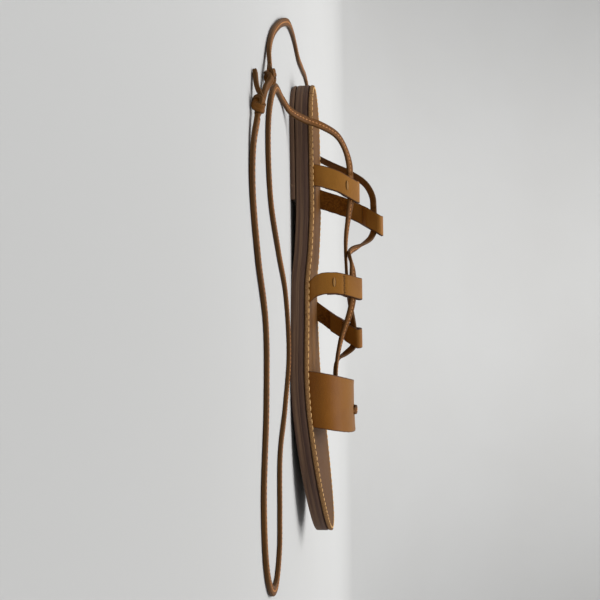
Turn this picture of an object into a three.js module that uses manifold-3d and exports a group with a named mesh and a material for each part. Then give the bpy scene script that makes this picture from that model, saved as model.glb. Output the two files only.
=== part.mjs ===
// Gladiator sandal, right shoe: a flat leather sole, an open toe band and four loop tabs drawn
// together by one flat leather lace with two long free ends.
// Frame in millimetres: +Z up, +Y to the toe, +X to the wearer's right, which is the outer side.
// The origin lies on the floor under the middle of the sole. A station is a distance from the heel.
import * as THREE from 'three';
import { mergeVertices } from 'three/addons/utils/BufferGeometryUtils.js';
import Module from 'manifold-3d';

// ---------------------------------------------------------------- driving dimensions
const LENGTH = 261;            // heel to toe
const OUTSOLE = 7.1;           // thickness of the sole slab
const HEEL_LIFT = 2.7;         // thickness of the lift under the heel
const HEEL_BREAST = 70;        // station of the lift's front face
const HEEL_BEVEL = 1.4;        // rise of the lift's rear edge off the floor
const INSOLE = 2.2;            // thickness of the footbed leather
const GAP = 0.3;               // clearance between two pieces that meet
const SLOT_INSET = 2.7;        // insole edge to the outer face of a strap

const TAB_WIDTH = 12;          // loop tabs, measured along the foot
const TAB_LEATHER = 1.6;       // thickness of a tab
const TUCK = 8;                // strap end turned in under the insole
const TUCK_BEND = 0.4;         // inside radius of the bend up through the slot
const TUCK_GAP = 0.45;         // clearance over the turned-in end, so its bend ends below the insole
const LOOP_LENGTH = 9.5;       // fold to the stitch row
const LOOP_GAP = 2.9;          // room for the lace inside a folded end
const FOLD_LENGTH = 19;        // fold to the cut end of the turned-back leather

const BAND_WIDTH = 30;         // toe band, measured along the foot
const BAND_LEATHER = 1.8;      // thickness of the toe band
const BAND_RISE = 21.5;        // insole top to the middle of the leather at the crown
const BAND_LEAN = 4;           // how far the crown stands forward of the feet of the band
const SLIT_SPREAD = 5;         // middle of the band to each lace slit
const SLIT = { across: 2.6, along: 5.4, depth: 12 };

const LACE = { width: 4, thickness: 1.8 };
const KNOT = { length: 9, width: 8, height: 6.4, tail: 10 };

// ---------------------------------------------------------------- the last, as stations
// Plan of the sole: middle line and half width; the heel and toe are then rounded off.
const PLAN = [
  { station: 0, centre: -2.0, half: 29 },
  { station: 32, centre: -2.0, half: 29 },
  { station: 63, centre: -1.0, half: 28.5 },
  { station: 88, centre: 1.1, half: 27.2 },
  { station: 108, centre: 2.6, half: 27.4 },
  { station: 128, centre: 3.5, half: 30.5 },
  { station: 148, centre: 3.5, half: 36.0 },
  { station: 168, centre: 2.3, half: 41.2 },
  { station: 188, centre: 0.0, half: 42.8 },
  { station: 208, centre: -2.3, half: 41.8 },
  { station: 233, centre: -4.8, half: 38.5 },
  { station: 261, centre: -7.5, half: 35 },
];
const HEEL_ROUND = { length: 29, power: 2 };
const TOE_ROUND = { length: 67, power: 2.2 };

// Height of the slab's underside: over the lift, down the arch, flat at the ball, up at the toe.
const UNDERSIDE = [
  { station: 0, height: 3.0 },
  { station: 70, height: 3.0 },
  { station: 96, height: 1.9 },
  { station: 119, height: 0 },
  { station: 161, height: 0 },
  { station: 178, height: 0.6 },
  { station: 195, height: 1.9 },
  { station: 213, height: 3.7 },
  { station: 233, height: 5.8 },
  { station: 261, height: 9.0 },
];

// Loop tabs. side +1 is lateral. top is the height of the fold, inward how far the fold stands in
// from the slot, turn the angle of the slot to the foot's axis. lean lists how far the tab has
// moved along the foot at each height above the floor.
const TABS = [
  { name: 'tab_heel_lateral', side: 1, station: 56.2, top: 36, inward: 7.5, turn: 0,
    lean: [{ height: 12, along: 0 }, { height: 24.5, along: 3.4 }, { height: 36, along: 9.1 }] },
  { name: 'tab_heel_medial', side: -1, station: 62, top: 49, inward: 6, turn: 0,
    lean: [{ height: 12, along: 0 }, { height: 31, along: 7.2 }, { height: 50, along: 19 }] },
  { name: 'tab_mid_lateral', side: 1, station: 121, top: 36.5, inward: 8, turn: -9,
    lean: [{ height: 9.6, along: 0 }, { height: 13, along: -3 }, { height: 17, along: -4.6 },
      { height: 23, along: -5 }, { height: 36.6, along: -3 }] },
  { name: 'tab_mid_medial', side: -1, station: 132.2, top: 35.5, inward: 6, turn: 10,
    lean: [{ height: 9.6, along: 0 }, { height: 20.4, along: 7.8 }, { height: 34, along: 15 }] },
];

// Route of the lace, hand laid. `face` is where its outer face looks, so each row also sets its twist.
// The first row of both halves is the short bar on the crown of the toe band. Each half drops
// through its slit, turns heelward under the band, runs through the mid tab of its own side, crosses
// the instep and ends just behind the loop of the opposite heel tab.
const UP = [0, 0, 1];
const HALF_FROM_MEDIAL = [
  { at: [1.6, 58.6, 33.1], face: UP },
  { at: [-2.6, 58.6, 33.1], face: UP },
  { at: [-3.6, 58.6, 32.7], face: [-0.7, 0, 0.7] },
  { at: [-4.0, 58.6, 31.7], face: [-1, 0, 0] },
  { at: [-4.0, 58.5, 28.6], face: [-1, 0, 0] },
  { at: [-4.2, 57.0, 25.2], face: [-0.8, -0.5, 0.2] },
  { at: [-5.2, 52.6, 22.6], face: [-0.3, -0.5, 0.8] },
  { at: [-7.2, 45.5, 21.2], face: [0, -0.1, 1] },
  { at: [-9.8, 37.5, 20.6], face: [-0.1, 0, 1] },
  { at: [-13.0, 31.0, 22.4], face: [-0.4, 0.2, 0.9] },
  { at: [-16.8, 27.6, 27.0], face: [-0.7, 0.4, 0.6] },
  { at: [-19.0, 23.2, 31.8], face: [-0.86, 0, 0.51] },
  { at: [-18.0, 16.9, 32.1], face: [-0.86, 0, 0.51] },
  { at: [-17.0, 11.2, 32.1], face: [-0.86, 0, 0.51] },
  { at: [-14.4, 4.2, 31.4], face: [-0.7, 0, 0.7] },
  { at: [-8.2, -8.6, 29.8], face: [-0.4, 0, 0.9] },
  { at: [0.0, -24.0, 28.9], face: [-0.1, 0, 1] },
  { at: [8.0, -39.6, 29.3], face: [0.3, 0, 0.95] },
  { at: [13.8, -52.4, 31.2], face: [0.6, 0, 0.8] },
  { at: [16.1, -60.4, 32.5], face: [0.77, 0, 0.63] },
  { at: [16.3, -67.0, 32.6], face: [0.77, 0, 0.63] },
  { at: [16.3, -74.6, 32.4], face: [0.77, 0, 0.63] },
];
const HALF_FROM_LATERAL = [
  { at: [0.4, 58.6, 33.1], face: UP },
  { at: [4.6, 58.6, 33.1], face: UP },
  { at: [5.6, 58.6, 32.7], face: [0.7, 0, 0.7] },
  { at: [6.0, 58.6, 31.7], face: [1, 0, 0] },
  { at: [6.0, 58.5, 28.6], face: [1, 0, 0] },
  { at: [6.3, 57.0, 25.4], face: [0.8, -0.5, 0.2] },
  { at: [7.4, 52.4, 23.2], face: [0.3, -0.5, 0.8] },
  { at: [9.6, 43.5, 22.4], face: [0, -0.1, 1] },
  { at: [12.8, 31.0, 23.0], face: [0.2, 0, 1] },
  { at: [16.8, 15.0, 26.4], face: [0.5, 0, 0.85] },
  { at: [20.2, 2.6, 31.0], face: [0.7, 0, 0.7] },
  { at: [21.6, -5.0, 32.8], face: [0.79, 0, 0.61] },
  { at: [20.8, -11.7, 33.1], face: [0.79, 0, 0.61] },
  { at: [19.8, -18.0, 33.1], face: [0.79, 0, 0.61] },
  { at: [16.8, -24.0, 32.8], face: [0.5, 0, 0.85] },
  { at: [11.0, -28.6, 31.6], face: [0.15, 0, 1] },
  { at: [4.0, -31.8, 30.8], face: UP },
  { at: [-4.6, -34.6, 32.4], face: [-0.2, 0, 1] },
  { at: [-12.4, -37.8, 37.8], face: [-0.6, 0.2, 0.75] },
  { at: [-17.6, -42.4, 43.4], face: [-0.85, 0.2, 0.5] },
  { at: [-19.0, -47.4, 45.6], face: [-0.92, 0, 0.39] },
  { at: [-19.0, -52.3, 45.7], face: [-0.92, 0, 0.39] },
  { at: [-19.0, -60.0, 45.5], face: [-0.92, 0, 0.39] },
];

// Free ends of the lace, from a heel tab down to the floor and along it to the knot.
const END_LATERAL = [
  { at: [16.3, -75.2, 32.4], face: [0.77, 0, 0.63] },
  { at: [16.5, -81, 32.1], face: [0.72, 0, 0.7] },
  { at: [20, -88.5, 30], face: [0.5, 0, 0.85] },
  { at: [26.5, -94.5, 26], face: [0.5, 0, 0.85] },
  { at: [34, -98, 18.5], face: [0.7, 0, 0.7] },
  { at: [41, -100, 10], face: [0.7, 0, 0.7] },
  { at: [50, -102, 3.6], face: [0.3, 0, 0.95] },
  { at: [62, -104, 1.3], face: UP },
  { at: [90, -101, 1.1], face: UP },
  { at: [110, -80, 1.1], face: UP },
  { at: [108, -50, 1.1], face: UP },
  { at: [86, -28, 1.1], face: UP },
  { at: [62, -8, 1.1], face: UP },
  { at: [54, 22, 1.1], face: UP },
  { at: [72, 46, 1.1], face: UP },
  { at: [92, 64, 1.1], face: UP },
  { at: [96, 88, 1.1], face: UP },
  { at: [99, 103, 1.1], face: UP },
  { at: [110, 113, 1.1], face: UP },
  { at: [124, 110, 1.1], face: UP },
  { at: [135, 96, 1.1], face: UP },
  { at: [138, 70, 1.1], face: UP },
  { at: [128, 36, 1.1], face: UP },
  { at: [126, 4, 1.1], face: UP },
  { at: [142, -22, 1.1], face: UP },
  { at: [151, -46, 1.1], face: UP },
  { at: [150, -62, 1.5], face: UP },
  { at: [147, -72, 2.6], face: UP },
];
const END_MEDIAL = [
  { at: [-19, -60.5, 45.5], face: [-0.92, 0, 0.39] },
  { at: [-19.3, -67.5, 45], face: [-0.85, 0, 0.5] },
  { at: [-23, -76, 41], face: [-0.7, 0, 0.7] },
  { at: [-30, -84, 32], face: [-0.8, 0, 0.6] },
  { at: [-36.5, -91, 20.5], face: [-0.8, -0.2, 0.5] },
  { at: [-42.5, -98, 9.8], face: [-0.7, -0.3, 0.6] },
  { at: [-50, -105, 3.4], face: [-0.2, -0.2, 0.95] },
  { at: [-61, -110.5, 1.3], face: UP },
  { at: [-77, -108, 1.1], face: UP },
  { at: [-87, -93, 1.1], face: UP },
  { at: [-86, -72, 1.1], face: UP },
  { at: [-81, -51, 1.1], face: UP },
  { at: [-85, -30, 1.1], face: UP },
  { at: [-98, -15, 1.1], face: UP },
  { at: [-116, -14, 1.1], face: UP },
  { at: [-129, -27, 1.1], face: UP },
  { at: [-131, -48, 1.1], face: UP },
  { at: [-123, -70, 1.1], face: UP },
  { at: [-117, -93, 1.1], face: UP },
  { at: [-116, -117, 1.1], face: UP },
  { at: [-107, -139, 1.1], face: UP },
  { at: [-89, -153, 1.1], face: UP },
  { at: [-66, -158, 1.1], face: UP },
  { at: [-42, -156, 1.1], face: UP },
  { at: [-18, -154, 1.1], face: UP },
  { at: [6, -157, 1.1], face: UP },
  { at: [30, -155, 1.1], face: UP },
  { at: [54, -146, 1.1], face: UP },
  { at: [78, -134, 1.1], face: UP },
  { at: [98, -121, 1.1], face: UP },
  { at: [108, -111, 1.5], face: UP },
  { at: [114, -102, 2.6], face: UP },
];
const KNOT_FLOOR = 3.3;        // height of a knot's middle
const TAIL_FLOOR = 1.4;        // height of the tip of its tail

// ---------------------------------------------------------------- number helpers
const toY = (station) => station - LENGTH / 2;

// Smooth value of one column between the rows of a table, level wherever two rows are equal.
function along(rows, key, column, at) {
  const last = rows.length - 1;
  if (at <= rows[0][key]) return rows[0][column];
  if (at >= rows[last][key]) return rows[last][column];
  const grade = (j) => (rows[j + 1][column] - rows[j][column]) / (rows[j + 1][key] - rows[j][key]);
  const slope = (j) => {
    if (j === 0) return grade(0);
    if (j === last) return grade(last - 1);
    const product = grade(j - 1) * grade(j);
    return product <= 0 ? 0 : 2 * product / (grade(j - 1) + grade(j));
  };
  const i = rows.findIndex((row) => row[key] > at) - 1;
  const width = rows[i + 1][key] - rows[i][key];
  const t = (at - rows[i][key]) / width;
  const rise = rows[i + 1][column] - rows[i][column];
  const leaving = slope(i) * width - rise;
  const arriving = slope(i + 1) * width - rise;
  return rows[i][column] + rise * t + t * (1 - t) * ((1 - t) * leaving - t * arriving);
}

const underside = (station) => along(UNDERSIDE, 'station', 'height', station);
const insoleTop = (station) => underside(station) + OUTSOLE + GAP + INSOLE;

// Edge of the sole at a station: side +1 is lateral.
function edge(station, side) {
  const roundOff = (distance, round) => {
    if (distance >= round.length) return 1;
    const t = 1 - Math.max(distance, 0) / round.length;
    return Math.pow(Math.max(1 - Math.pow(t, round.power), 0), 1 / round.power);
  };
  const half = along(PLAN, 'station', 'half', station)
    * roundOff(station, HEEL_ROUND) * roundOff(LENGTH - station, TOE_ROUND);
  return along(PLAN, 'station', 'centre', station) + side * half;
}

// ---------------------------------------------------------------- solid helpers
const wasm = await Module();
wasm.setup();

function toSolid(geometry) {
  const bare = geometry.index ? geometry.toNonIndexed() : geometry.clone();
  bare.deleteAttribute('normal');
  bare.deleteAttribute('uv');
  const merged = mergeVertices(bare, 1e-4);
  return new wasm.Manifold(new wasm.Mesh({
    numProp: 3,
    vertProperties: new Float32Array(merged.attributes.position.array),
    triVerts: new Uint32Array(merged.index.array),
  }));
}

function toGeometry(solid) {
  const mesh = solid.getMesh();
  const geometry = new THREE.BufferGeometry();
  geometry.setAttribute('position', new THREE.BufferAttribute(new Float32Array(mesh.vertProperties), 3));
  geometry.setIndex(new THREE.BufferAttribute(new Uint32Array(mesh.triVerts), 1));
  geometry.computeVertexNormals();
  return geometry;
}

const AXIS = {
  x: new THREE.Vector3(1, 0, 0),
  y: new THREE.Vector3(0, 1, 0),
  z: new THREE.Vector3(0, 0, 1),
};
const ALONG_FOOT = new THREE.Matrix4().makeBasis(AXIS.y, AXIS.z, AXIS.x);

function extrude(points, depth, steps = 1) {
  const shape = new THREE.Shape(points);
  return new THREE.ExtrudeGeometry(shape, { depth, steps, bevelEnabled: false });
}

// A path whose points and facing directions are given, so that flat leather keeps its face as it
// bends. The section's x runs along the facing direction and its y across the path.
class Route extends THREE.Curve {
  constructor(points, facings) {
    super();
    this.points = points;
    this.facings = facings;
  }

  getPoint(t, target = new THREE.Vector3()) {
    const place = t * (this.points.length - 1);
    const i = Math.min(Math.floor(place), this.points.length - 2);
    return target.lerpVectors(this.points[i], this.points[i + 1], place - i);
  }

  getSpacedPoints() {
    return this.points;
  }

  computeFrenetFrames() {
    const last = this.points.length - 1;
    const tangents = this.points.map((_, i) => new THREE.Vector3()
      .subVectors(this.points[Math.min(i + 1, last)], this.points[Math.max(i - 1, 0)]).normalize());
    const normals = this.facings.map((facing, i) => facing.clone()
      .addScaledVector(tangents[i], -facing.dot(tangents[i])).normalize());
    const binormals = tangents.map((tangent, i) => new THREE.Vector3().crossVectors(tangent, normals[i]));
    return { tangents, normals, binormals };
  }
}

function sweep(section, points, facings) {
  return new THREE.ExtrudeGeometry(new THREE.Shape(section), {
    steps: points.length - 1, extrudePath: new Route(points, facings), bevelEnabled: false,
  });
}

// Section of a strap, thickness along x and width along y, with `parts` steps across the width.
function strapSection(thickness, width, parts) {
  const side = (x) => Array.from({ length: parts + 1 }, (_, i) => (
    new THREE.Vector2(x, width * (i / parts - 0.5))));
  return [...side(thickness / 2), ...side(-thickness / 2).reverse()];
}

// Moves every vertex of a geometry by a rule.
function reshape(geometry, rule) {
  const position = geometry.attributes.position;
  const point = new THREE.Vector3();
  for (let i = 0; i < position.count; i += 1) {
    point.fromBufferAttribute(position, i);
    rule(point);
    position.setXYZ(i, point.x, point.y, point.z);
  }
  return geometry;
}

// ---------------------------------------------------------------- sole
const PLAN_STEPS = 44;         // points up each side of the plan
const WIDE = 130;              // wider than the sole, for the side profiles
const COLUMN = { bottom: -20, height: 60 };   // taller than the sole, for its plan
const BEND_STEP = 7.65;        // spacing of the bends in front of the heel lift

// The sole's plan as an upright column, its points closer together round the heel and the toe.
function planColumn() {
  const stations = Array.from({ length: PLAN_STEPS + 1 }, (_, i) => (
    LENGTH * (1 - Math.cos(Math.PI * i / PLAN_STEPS)) / 2));
  const side = (sign) => stations.map((station) => (
    new THREE.Vector2(edge(station, sign), toY(station))));
  const points = [...side(1), ...side(-1).slice(1, -1).reverse()];
  return toSolid(extrude(points, COLUMN.height).translate(0, 0, COLUMN.bottom));
}

// A slab seen from the side, between two height rules, as wide as needed.
function sideSlab(from, to, lower, upper, stations) {
  const inside = stations.filter((station) => station > from && station < to);
  const reach = [from, ...inside, to];
  const low = reach.map((station) => new THREE.Vector2(toY(station), lower(station)));
  const high = reach.map((station) => new THREE.Vector2(toY(station), upper(station)));
  const slab = extrude([...low, ...high.reverse()], WIDE);
  slab.applyMatrix4(ALONG_FOOT).translate(-WIDE / 2, 0, 0);
  return toSolid(slab);
}

const evenBends = Array.from({ length: 25 }, (_, i) => HEEL_BREAST + i * BEND_STEP);
const flatEnds = UNDERSIDE.filter((row) => row.height === 0).map((row) => row.station);
const BENDS = [...evenBends, ...flatEnds].sort((a, b) => a - b);
const PAST_ENDS = 5;           // the side profiles run past the heel and the toe
const plan = planColumn();

const slabTop = (station) => underside(station) + OUTSOLE;
const slab = sideSlab(-PAST_ENDS, LENGTH + PAST_ENDS, underside, slabTop, BENDS).intersect(plan);

const BEVEL_LENGTH = 14;
const bevelBends = [3, 6, 9, 11.5, BEVEL_LENGTH];
const liftBottom = (station) => HEEL_BEVEL * Math.max(0, 1 - station / BEVEL_LENGTH) ** 2;
const liftTop = () => HEEL_LIFT;
const lift = sideSlab(0, HEEL_BREAST, liftBottom, liftTop, bevelBends).intersect(plan);

const bedBottom = (station) => slabTop(station) + GAP;
const bed = sideSlab(-PAST_ENDS, LENGTH + PAST_ENDS, bedBottom, insoleTop, BENDS).intersect(plan);

// ---------------------------------------------------------------- loop tabs
// Sweeps a strap along a centre line drawn in the plane across the foot.
function strapAlong(line, thickness, width, parts) {
  const points = line.map((point) => new THREE.Vector3(point.x, 0, point.y));
  const last = points.length - 1;
  const facings = points.map((_, i) => {
    const tangent = points[Math.min(i + 1, last)].clone().sub(points[Math.max(i - 1, 0)]);
    return new THREE.Vector3(tangent.z, 0, -tangent.x);
  });
  return sweep(strapSection(thickness, width, parts), points, facings);
}

// Strap end under the insole, then the bend up through the slot. Horizontal axis: out of the foot.
function tuckLine(leather, grow) {
  const middle = -INSOLE - TUCK_GAP - leather / 2;
  const bend = TUCK_BEND + leather / 2;
  const path = new THREE.Path();
  path.moveTo(-bend - TUCK - grow, middle);
  path.lineTo(-bend, middle);
  path.absarc(-bend, middle + bend, bend, -Math.PI / 2, 0, false);
  return path.getPoints(2);
}

// Centre line of a whole tab seen along the foot, heights from the insole's top face: the tucked
// end, the curve up to the fold, the fold's half round and the turned-back end.
const TAB_STEPS = 16;
const CROWN_STEPS = 6;
const CLOSING = { from: 3.5, to: 1.5 };   // the loop closes this far before and past the stitch row

function tabLine(tab, base, grow) {
  const rise = tab.top - base;
  const outer = new THREE.CubicBezierCurve(
    new THREE.Vector2(0, 0),
    new THREE.Vector2(0.8, rise * 0.45),
    new THREE.Vector2(-tab.inward * 0.35, rise * 0.75),
    new THREE.Vector2(-tab.inward, rise),
  );
  const reach = outer.getLength();
  const line = tuckLine(TAB_LEATHER, grow);
  const fold = [];
  for (let i = 0; i <= TAB_STEPS; i += 1) {
    const point = outer.getPointAt(i / TAB_STEPS);
    const tangent = outer.getTangentAt(i / TAB_STEPS);
    const toFold = reach * (1 - i / TAB_STEPS);
    line.push(point);
    if (toFold <= FOLD_LENGTH) {
      const open = LOOP_LENGTH - CLOSING.from;
      const closed = THREE.MathUtils.smoothstep(toFold, open, LOOP_LENGTH + CLOSING.to);
      const apart = TAB_LEATHER + THREE.MathUtils.lerp(LOOP_GAP, GAP, closed);
      const inward = new THREE.Vector2(-tangent.y, tangent.x);
      fold.push({ point: point.clone().addScaledVector(inward, apart), apart, tangent, inward });
    }
  }
  const end = fold[fold.length - 1];
  const radius = end.apart / 2;
  const crown = line[line.length - 1].clone().addScaledVector(end.inward, radius);
  for (let i = 1; i < CROWN_STEPS; i += 1) {
    const angle = Math.PI * i / CROWN_STEPS;
    line.push(crown.clone()
      .addScaledVector(end.inward, -Math.cos(angle) * radius)
      .addScaledVector(end.tangent, Math.sin(angle) * radius));
  }
  return [...line, ...fold.reverse().map((row) => row.point)];
}

// From the tab's own plane to its place on the sole, turned to the slot and leaning along the foot.
function place(tab, base, point) {
  point.x *= tab.side;
  point.applyAxisAngle(AXIS.z, THREE.MathUtils.degToRad(tab.turn));
  point.x += edge(tab.station, tab.side) - tab.side * (SLOT_INSET + TAB_LEATHER / 2);
  point.z += base;
  point.y += toY(tab.station) + along(tab.lean, 'height', 'along', point.z);
  return point;
}

// Tab as a solid; grow makes the fatter copy that cuts its slot and its bed in the sole.
function tabSolid(tab, grow = 0) {
  const base = insoleTop(tab.station);
  const line = tabLine(tab, base, grow);
  const geometry = strapAlong(line, TAB_LEATHER + 2 * grow, TAB_WIDTH + 2 * grow, 1);
  reshape(geometry, (point) => place(tab, base, point));
  if (tab.side < 0) flip(geometry);
  return toSolid(geometry);
}

// A mirrored geometry has its faces turned over, so their corners are read the other way round.
function flip(geometry) {
  const position = geometry.attributes.position;
  const a = new THREE.Vector3();
  const b = new THREE.Vector3();
  for (let i = 0; i < position.count; i += 3) {
    a.fromBufferAttribute(position, i + 1);
    b.fromBufferAttribute(position, i + 2);
    position.setXYZ(i + 1, b.x, b.y, b.z);
    position.setXYZ(i + 2, a.x, a.y, a.z);
  }
}

// ---------------------------------------------------------------- toe band
const BAND_FEET = { medial: 172.5, lateral: 162.5 };   // stations of the band's rear corners
const BAND_POWER = 2.5;                                // 2 is an ellipse, more is squarer
const BAND_HALF = 40;          // half span in which the arch is drawn, before it is fitted to the sole
const BAND_STEPS = 14;         // steps up each half of the arch
const BAND_LEAN_POWER = 1.3;   // the lean gathers towards the crown
const BAND_DROP = 1.6;         // the front edge of the crown is this much lower than the rear edge

// Half arch from the tucked end up to the crown.
function bandLine(grow) {
  const points = tuckLine(BAND_LEATHER, grow).map((point) => new THREE.Vector2(BAND_HALF + point.x, point.y));
  for (let i = 0; i < BAND_STEPS; i += 1) {
    const angle = Math.PI / 2 * i / BAND_STEPS;
    const reach = Math.pow(Math.cos(angle), 2 / BAND_POWER);
    const height = Math.pow(Math.sin(angle), 2 / BAND_POWER);
    points.push(new THREE.Vector2(BAND_HALF * reach, BAND_RISE * height));
  }
  points.push(new THREE.Vector2(0, BAND_RISE));
  return points;
}

function bandSolid(grow = 0) {
  const rightHalf = bandLine(grow);
  const leftHalf = rightHalf.slice(0, -1).reverse().map((point) => new THREE.Vector2(-point.x, point.y));
  const width = BAND_WIDTH + 2 * grow;
  const geometry = strapAlong([...rightHalf, ...leftHalf], BAND_LEATHER + 2 * grow, width, 6);
  reshape(geometry, (point) => {
    const across = point.x / BAND_HALF;
    const corner = THREE.MathUtils.lerp(BAND_FEET.medial, BAND_FEET.lateral, (across + 1) / 2);
    const station = corner + BAND_WIDTH / 2 + point.y;
    const lateral = edge(station, 1) - SLOT_INSET - BAND_LEATHER / 2;
    const medial = edge(station, -1) + SLOT_INSET + BAND_LEATHER / 2;
    const up = Math.max(point.z, 0) / BAND_RISE;
    point.x = (lateral + medial) / 2 + across * (lateral - medial) / 2;
    point.y = toY(station) + BAND_LEAN * up ** BAND_LEAN_POWER;
    point.z += insoleTop(station) - BAND_DROP * up * (station - corner) / BAND_WIDTH;
  });
  return toSolid(geometry);
}

// ---------------------------------------------------------------- lace
const LACE_SOFT = 0.5;         // corners of the lace taken off
const END_STEPS = 66;          // steps along each free end
const CROSSING_STEPS = 3;      // steps between two rows of the crossing

// Flat leather section with softened corners, face along x and width along y.
function laceSection() {
  const thin = LACE.thickness / 2;
  const wide = LACE.width / 2;
  const corner = [[thin, wide - LACE_SOFT], [thin - LACE_SOFT, wide]];
  const back = [...corner].reverse();
  const quarter = (x, y, list) => list.map(([a, b]) => new THREE.Vector2(x * a, y * b));
  const top = [...quarter(1, -1, back), ...quarter(1, 1, corner)];
  const bottom = [...quarter(-1, 1, back), ...quarter(-1, -1, corner)];
  return [...top, ...bottom];
}

// Sweeps the lace along a route. The steps are spread evenly over the rows, or over the length.
function laceAlong(route, steps, evenLength) {
  const places = route.map((row) => new THREE.Vector3(...row.at));
  const curve = new THREE.CatmullRomCurve3(places, false, 'centripetal');
  const points = [];
  const facings = [];
  for (let i = 0; i <= steps; i += 1) {
    const t = evenLength ? curve.getUtoTmapping(i / steps) : i / steps;
    const reached = t * (route.length - 1);
    const row = Math.min(Math.floor(reached), route.length - 2);
    const from = new THREE.Vector3(...route[row].face);
    const to = new THREE.Vector3(...route[row + 1].face);
    points.push(curve.getPoint(t));
    facings.push(from.lerp(to, reached - row));
  }
  return toSolid(sweep(laceSection(), points, facings));
}

// Knot and its short tail, lying on the floor past the end of a route.
function knotSolid(route) {
  const last = new THREE.Vector3(...route[route.length - 1].at);
  const before = new THREE.Vector3(...route[route.length - 2].at);
  const ahead = last.clone().sub(before).setZ(0).normalize();
  const middle = last.clone().addScaledVector(ahead, GAP + KNOT.length / 2).setZ(KNOT_FLOOR);
  const ball = new THREE.SphereGeometry(0.5, 12, 8).scale(KNOT.length, KNOT.width, KNOT.height);
  ball.rotateZ(Math.atan2(ahead.y, ahead.x)).translate(middle.x, middle.y, middle.z);
  const tailFrom = middle.clone().addScaledVector(ahead, KNOT.length / 4);
  const tailTo = middle.clone().addScaledVector(ahead, KNOT.length / 2 + KNOT.tail)
    .setZ(TAIL_FLOOR);
  const tail = sweep(laceSection(), [tailFrom, tailTo], [AXIS.z, AXIS.z]);
  return toSolid(ball).add(toSolid(tail));
}

const crossing = [HALF_FROM_MEDIAL, HALF_FROM_LATERAL]
  .map((route) => laceAlong(route, CROSSING_STEPS * route.length, false))
  .reduce((whole, half) => whole.add(half));

// Two slits side by side on the crown of the band, on the line of the lace's bar.
const BAR = { x: 1, y: 58.6, z: 31 };
const slits = [-SLIT_SPREAD, SLIT_SPREAD].map((across) => toSolid(
  new THREE.BoxGeometry(SLIT.across, SLIT.along, SLIT.depth).translate(BAR.x + across, BAR.y, BAR.z),
));

const tabs = TABS.map((tab) => ({ name: tab.name, solid: tabSolid(tab) }));
const SLIVER = 0.06;           // details finer than this are merged away before and after a cut
const straps = [...TABS.map((tab) => tabSolid(tab, GAP)), bandSolid(GAP)]
  .map((strap) => strap.simplify(SLIVER));
const cutBy = (solid, cutters) => (
  cutters.reduce((rest, cutter) => rest.subtract(cutter), solid).simplify(SLIVER));

// ---------------------------------------------------------------- assembly
const LOOKS = {
  tab: { color: 0x96643a, roughness: 0.55 },
  band: { color: 0xa07346, roughness: 0.5 },
  sole: { color: 0x553f36, roughness: 0.8 },
  bed: { color: 0x967055, roughness: 0.75 },
  lace: { color: 0x875a2d, roughness: 0.6 },
};

const sandal = new THREE.Group();

function addPiece(name, solid, look) {
  const material = new THREE.MeshStandardMaterial({ ...look, metalness: 0 });
  const mesh = new THREE.Mesh(toGeometry(solid), material);
  mesh.name = name;
  sandal.add(mesh);
}

addPiece('outsole', cutBy(slab, straps), LOOKS.sole);
addPiece('heel_lift', lift, LOOKS.sole);
addPiece('insole', cutBy(bed, straps), LOOKS.bed);
addPiece('toe_band', slits.reduce((band, slit) => band.subtract(slit), bandSolid()), LOOKS.band);
tabs.forEach((tab) => addPiece(tab.name, tab.solid, LOOKS.tab));
addPiece('lace_crossing', crossing, LOOKS.lace);
addPiece('lace_end_lateral', laceAlong(END_LATERAL, END_STEPS, true), LOOKS.lace);
addPiece('lace_end_medial', laceAlong(END_MEDIAL, END_STEPS, true), LOOKS.lace);
addPiece('lace_knot_lateral', knotSolid(END_LATERAL), LOOKS.lace);
addPiece('lace_knot_medial', knotSolid(END_MEDIAL), LOOKS.lace);

export default sandal;
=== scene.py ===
import math

import bpy
import numpy as np
from mathutils import Matrix, Vector, noise


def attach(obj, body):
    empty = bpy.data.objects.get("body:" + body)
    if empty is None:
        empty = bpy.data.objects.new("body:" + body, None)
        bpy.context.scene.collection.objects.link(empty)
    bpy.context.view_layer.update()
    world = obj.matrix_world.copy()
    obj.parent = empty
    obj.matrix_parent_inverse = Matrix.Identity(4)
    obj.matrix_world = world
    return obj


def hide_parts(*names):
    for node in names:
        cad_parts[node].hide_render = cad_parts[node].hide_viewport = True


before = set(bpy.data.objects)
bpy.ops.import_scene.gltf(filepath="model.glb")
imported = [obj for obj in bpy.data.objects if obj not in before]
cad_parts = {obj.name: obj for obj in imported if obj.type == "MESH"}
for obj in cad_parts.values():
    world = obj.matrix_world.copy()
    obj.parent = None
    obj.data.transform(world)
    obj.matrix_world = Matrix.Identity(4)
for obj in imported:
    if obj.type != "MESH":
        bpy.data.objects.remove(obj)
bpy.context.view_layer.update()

MM = 0.001

# ------------------------------------------------------------------ studio
# A pale floor that curves up behind the shoe, lit from above the heel end, with a weak fill from
# the camera's side and a light on the backdrop. The camera is low beside the outer side, turned
# so that the toe points down the frame.
EYE = (380.0, -5.5, 41.4)      # millimetres
LOOK_DOWN = math.radians(6.0)
LENS = 39.0
ROLL = math.radians(-1.0)

camera_data = bpy.data.cameras.new("camera")
camera_data.lens = LENS
camera_data.sensor_width = 36.0
camera_data.clip_start = 0.01
camera_data.clip_end = 20.0
camera = bpy.data.objects.new("camera", camera_data)
bpy.context.collection.objects.link(camera)
image_right = Vector((-math.sin(LOOK_DOWN), 0, math.cos(LOOK_DOWN)))
image_up = Vector((0, -1, 0))
backward = Vector((math.cos(LOOK_DOWN), 0, math.sin(LOOK_DOWN)))
turned = Matrix((image_right, image_up, backward)).transposed() @ Matrix.Rotation(ROLL, 3, "Z")
camera.matrix_world = Matrix.Translation(Vector(EYE) * MM) @ turned.to_4x4()
bpy.context.scene.camera = camera
bpy.context.scene.view_settings.view_transform = "Standard"


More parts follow.
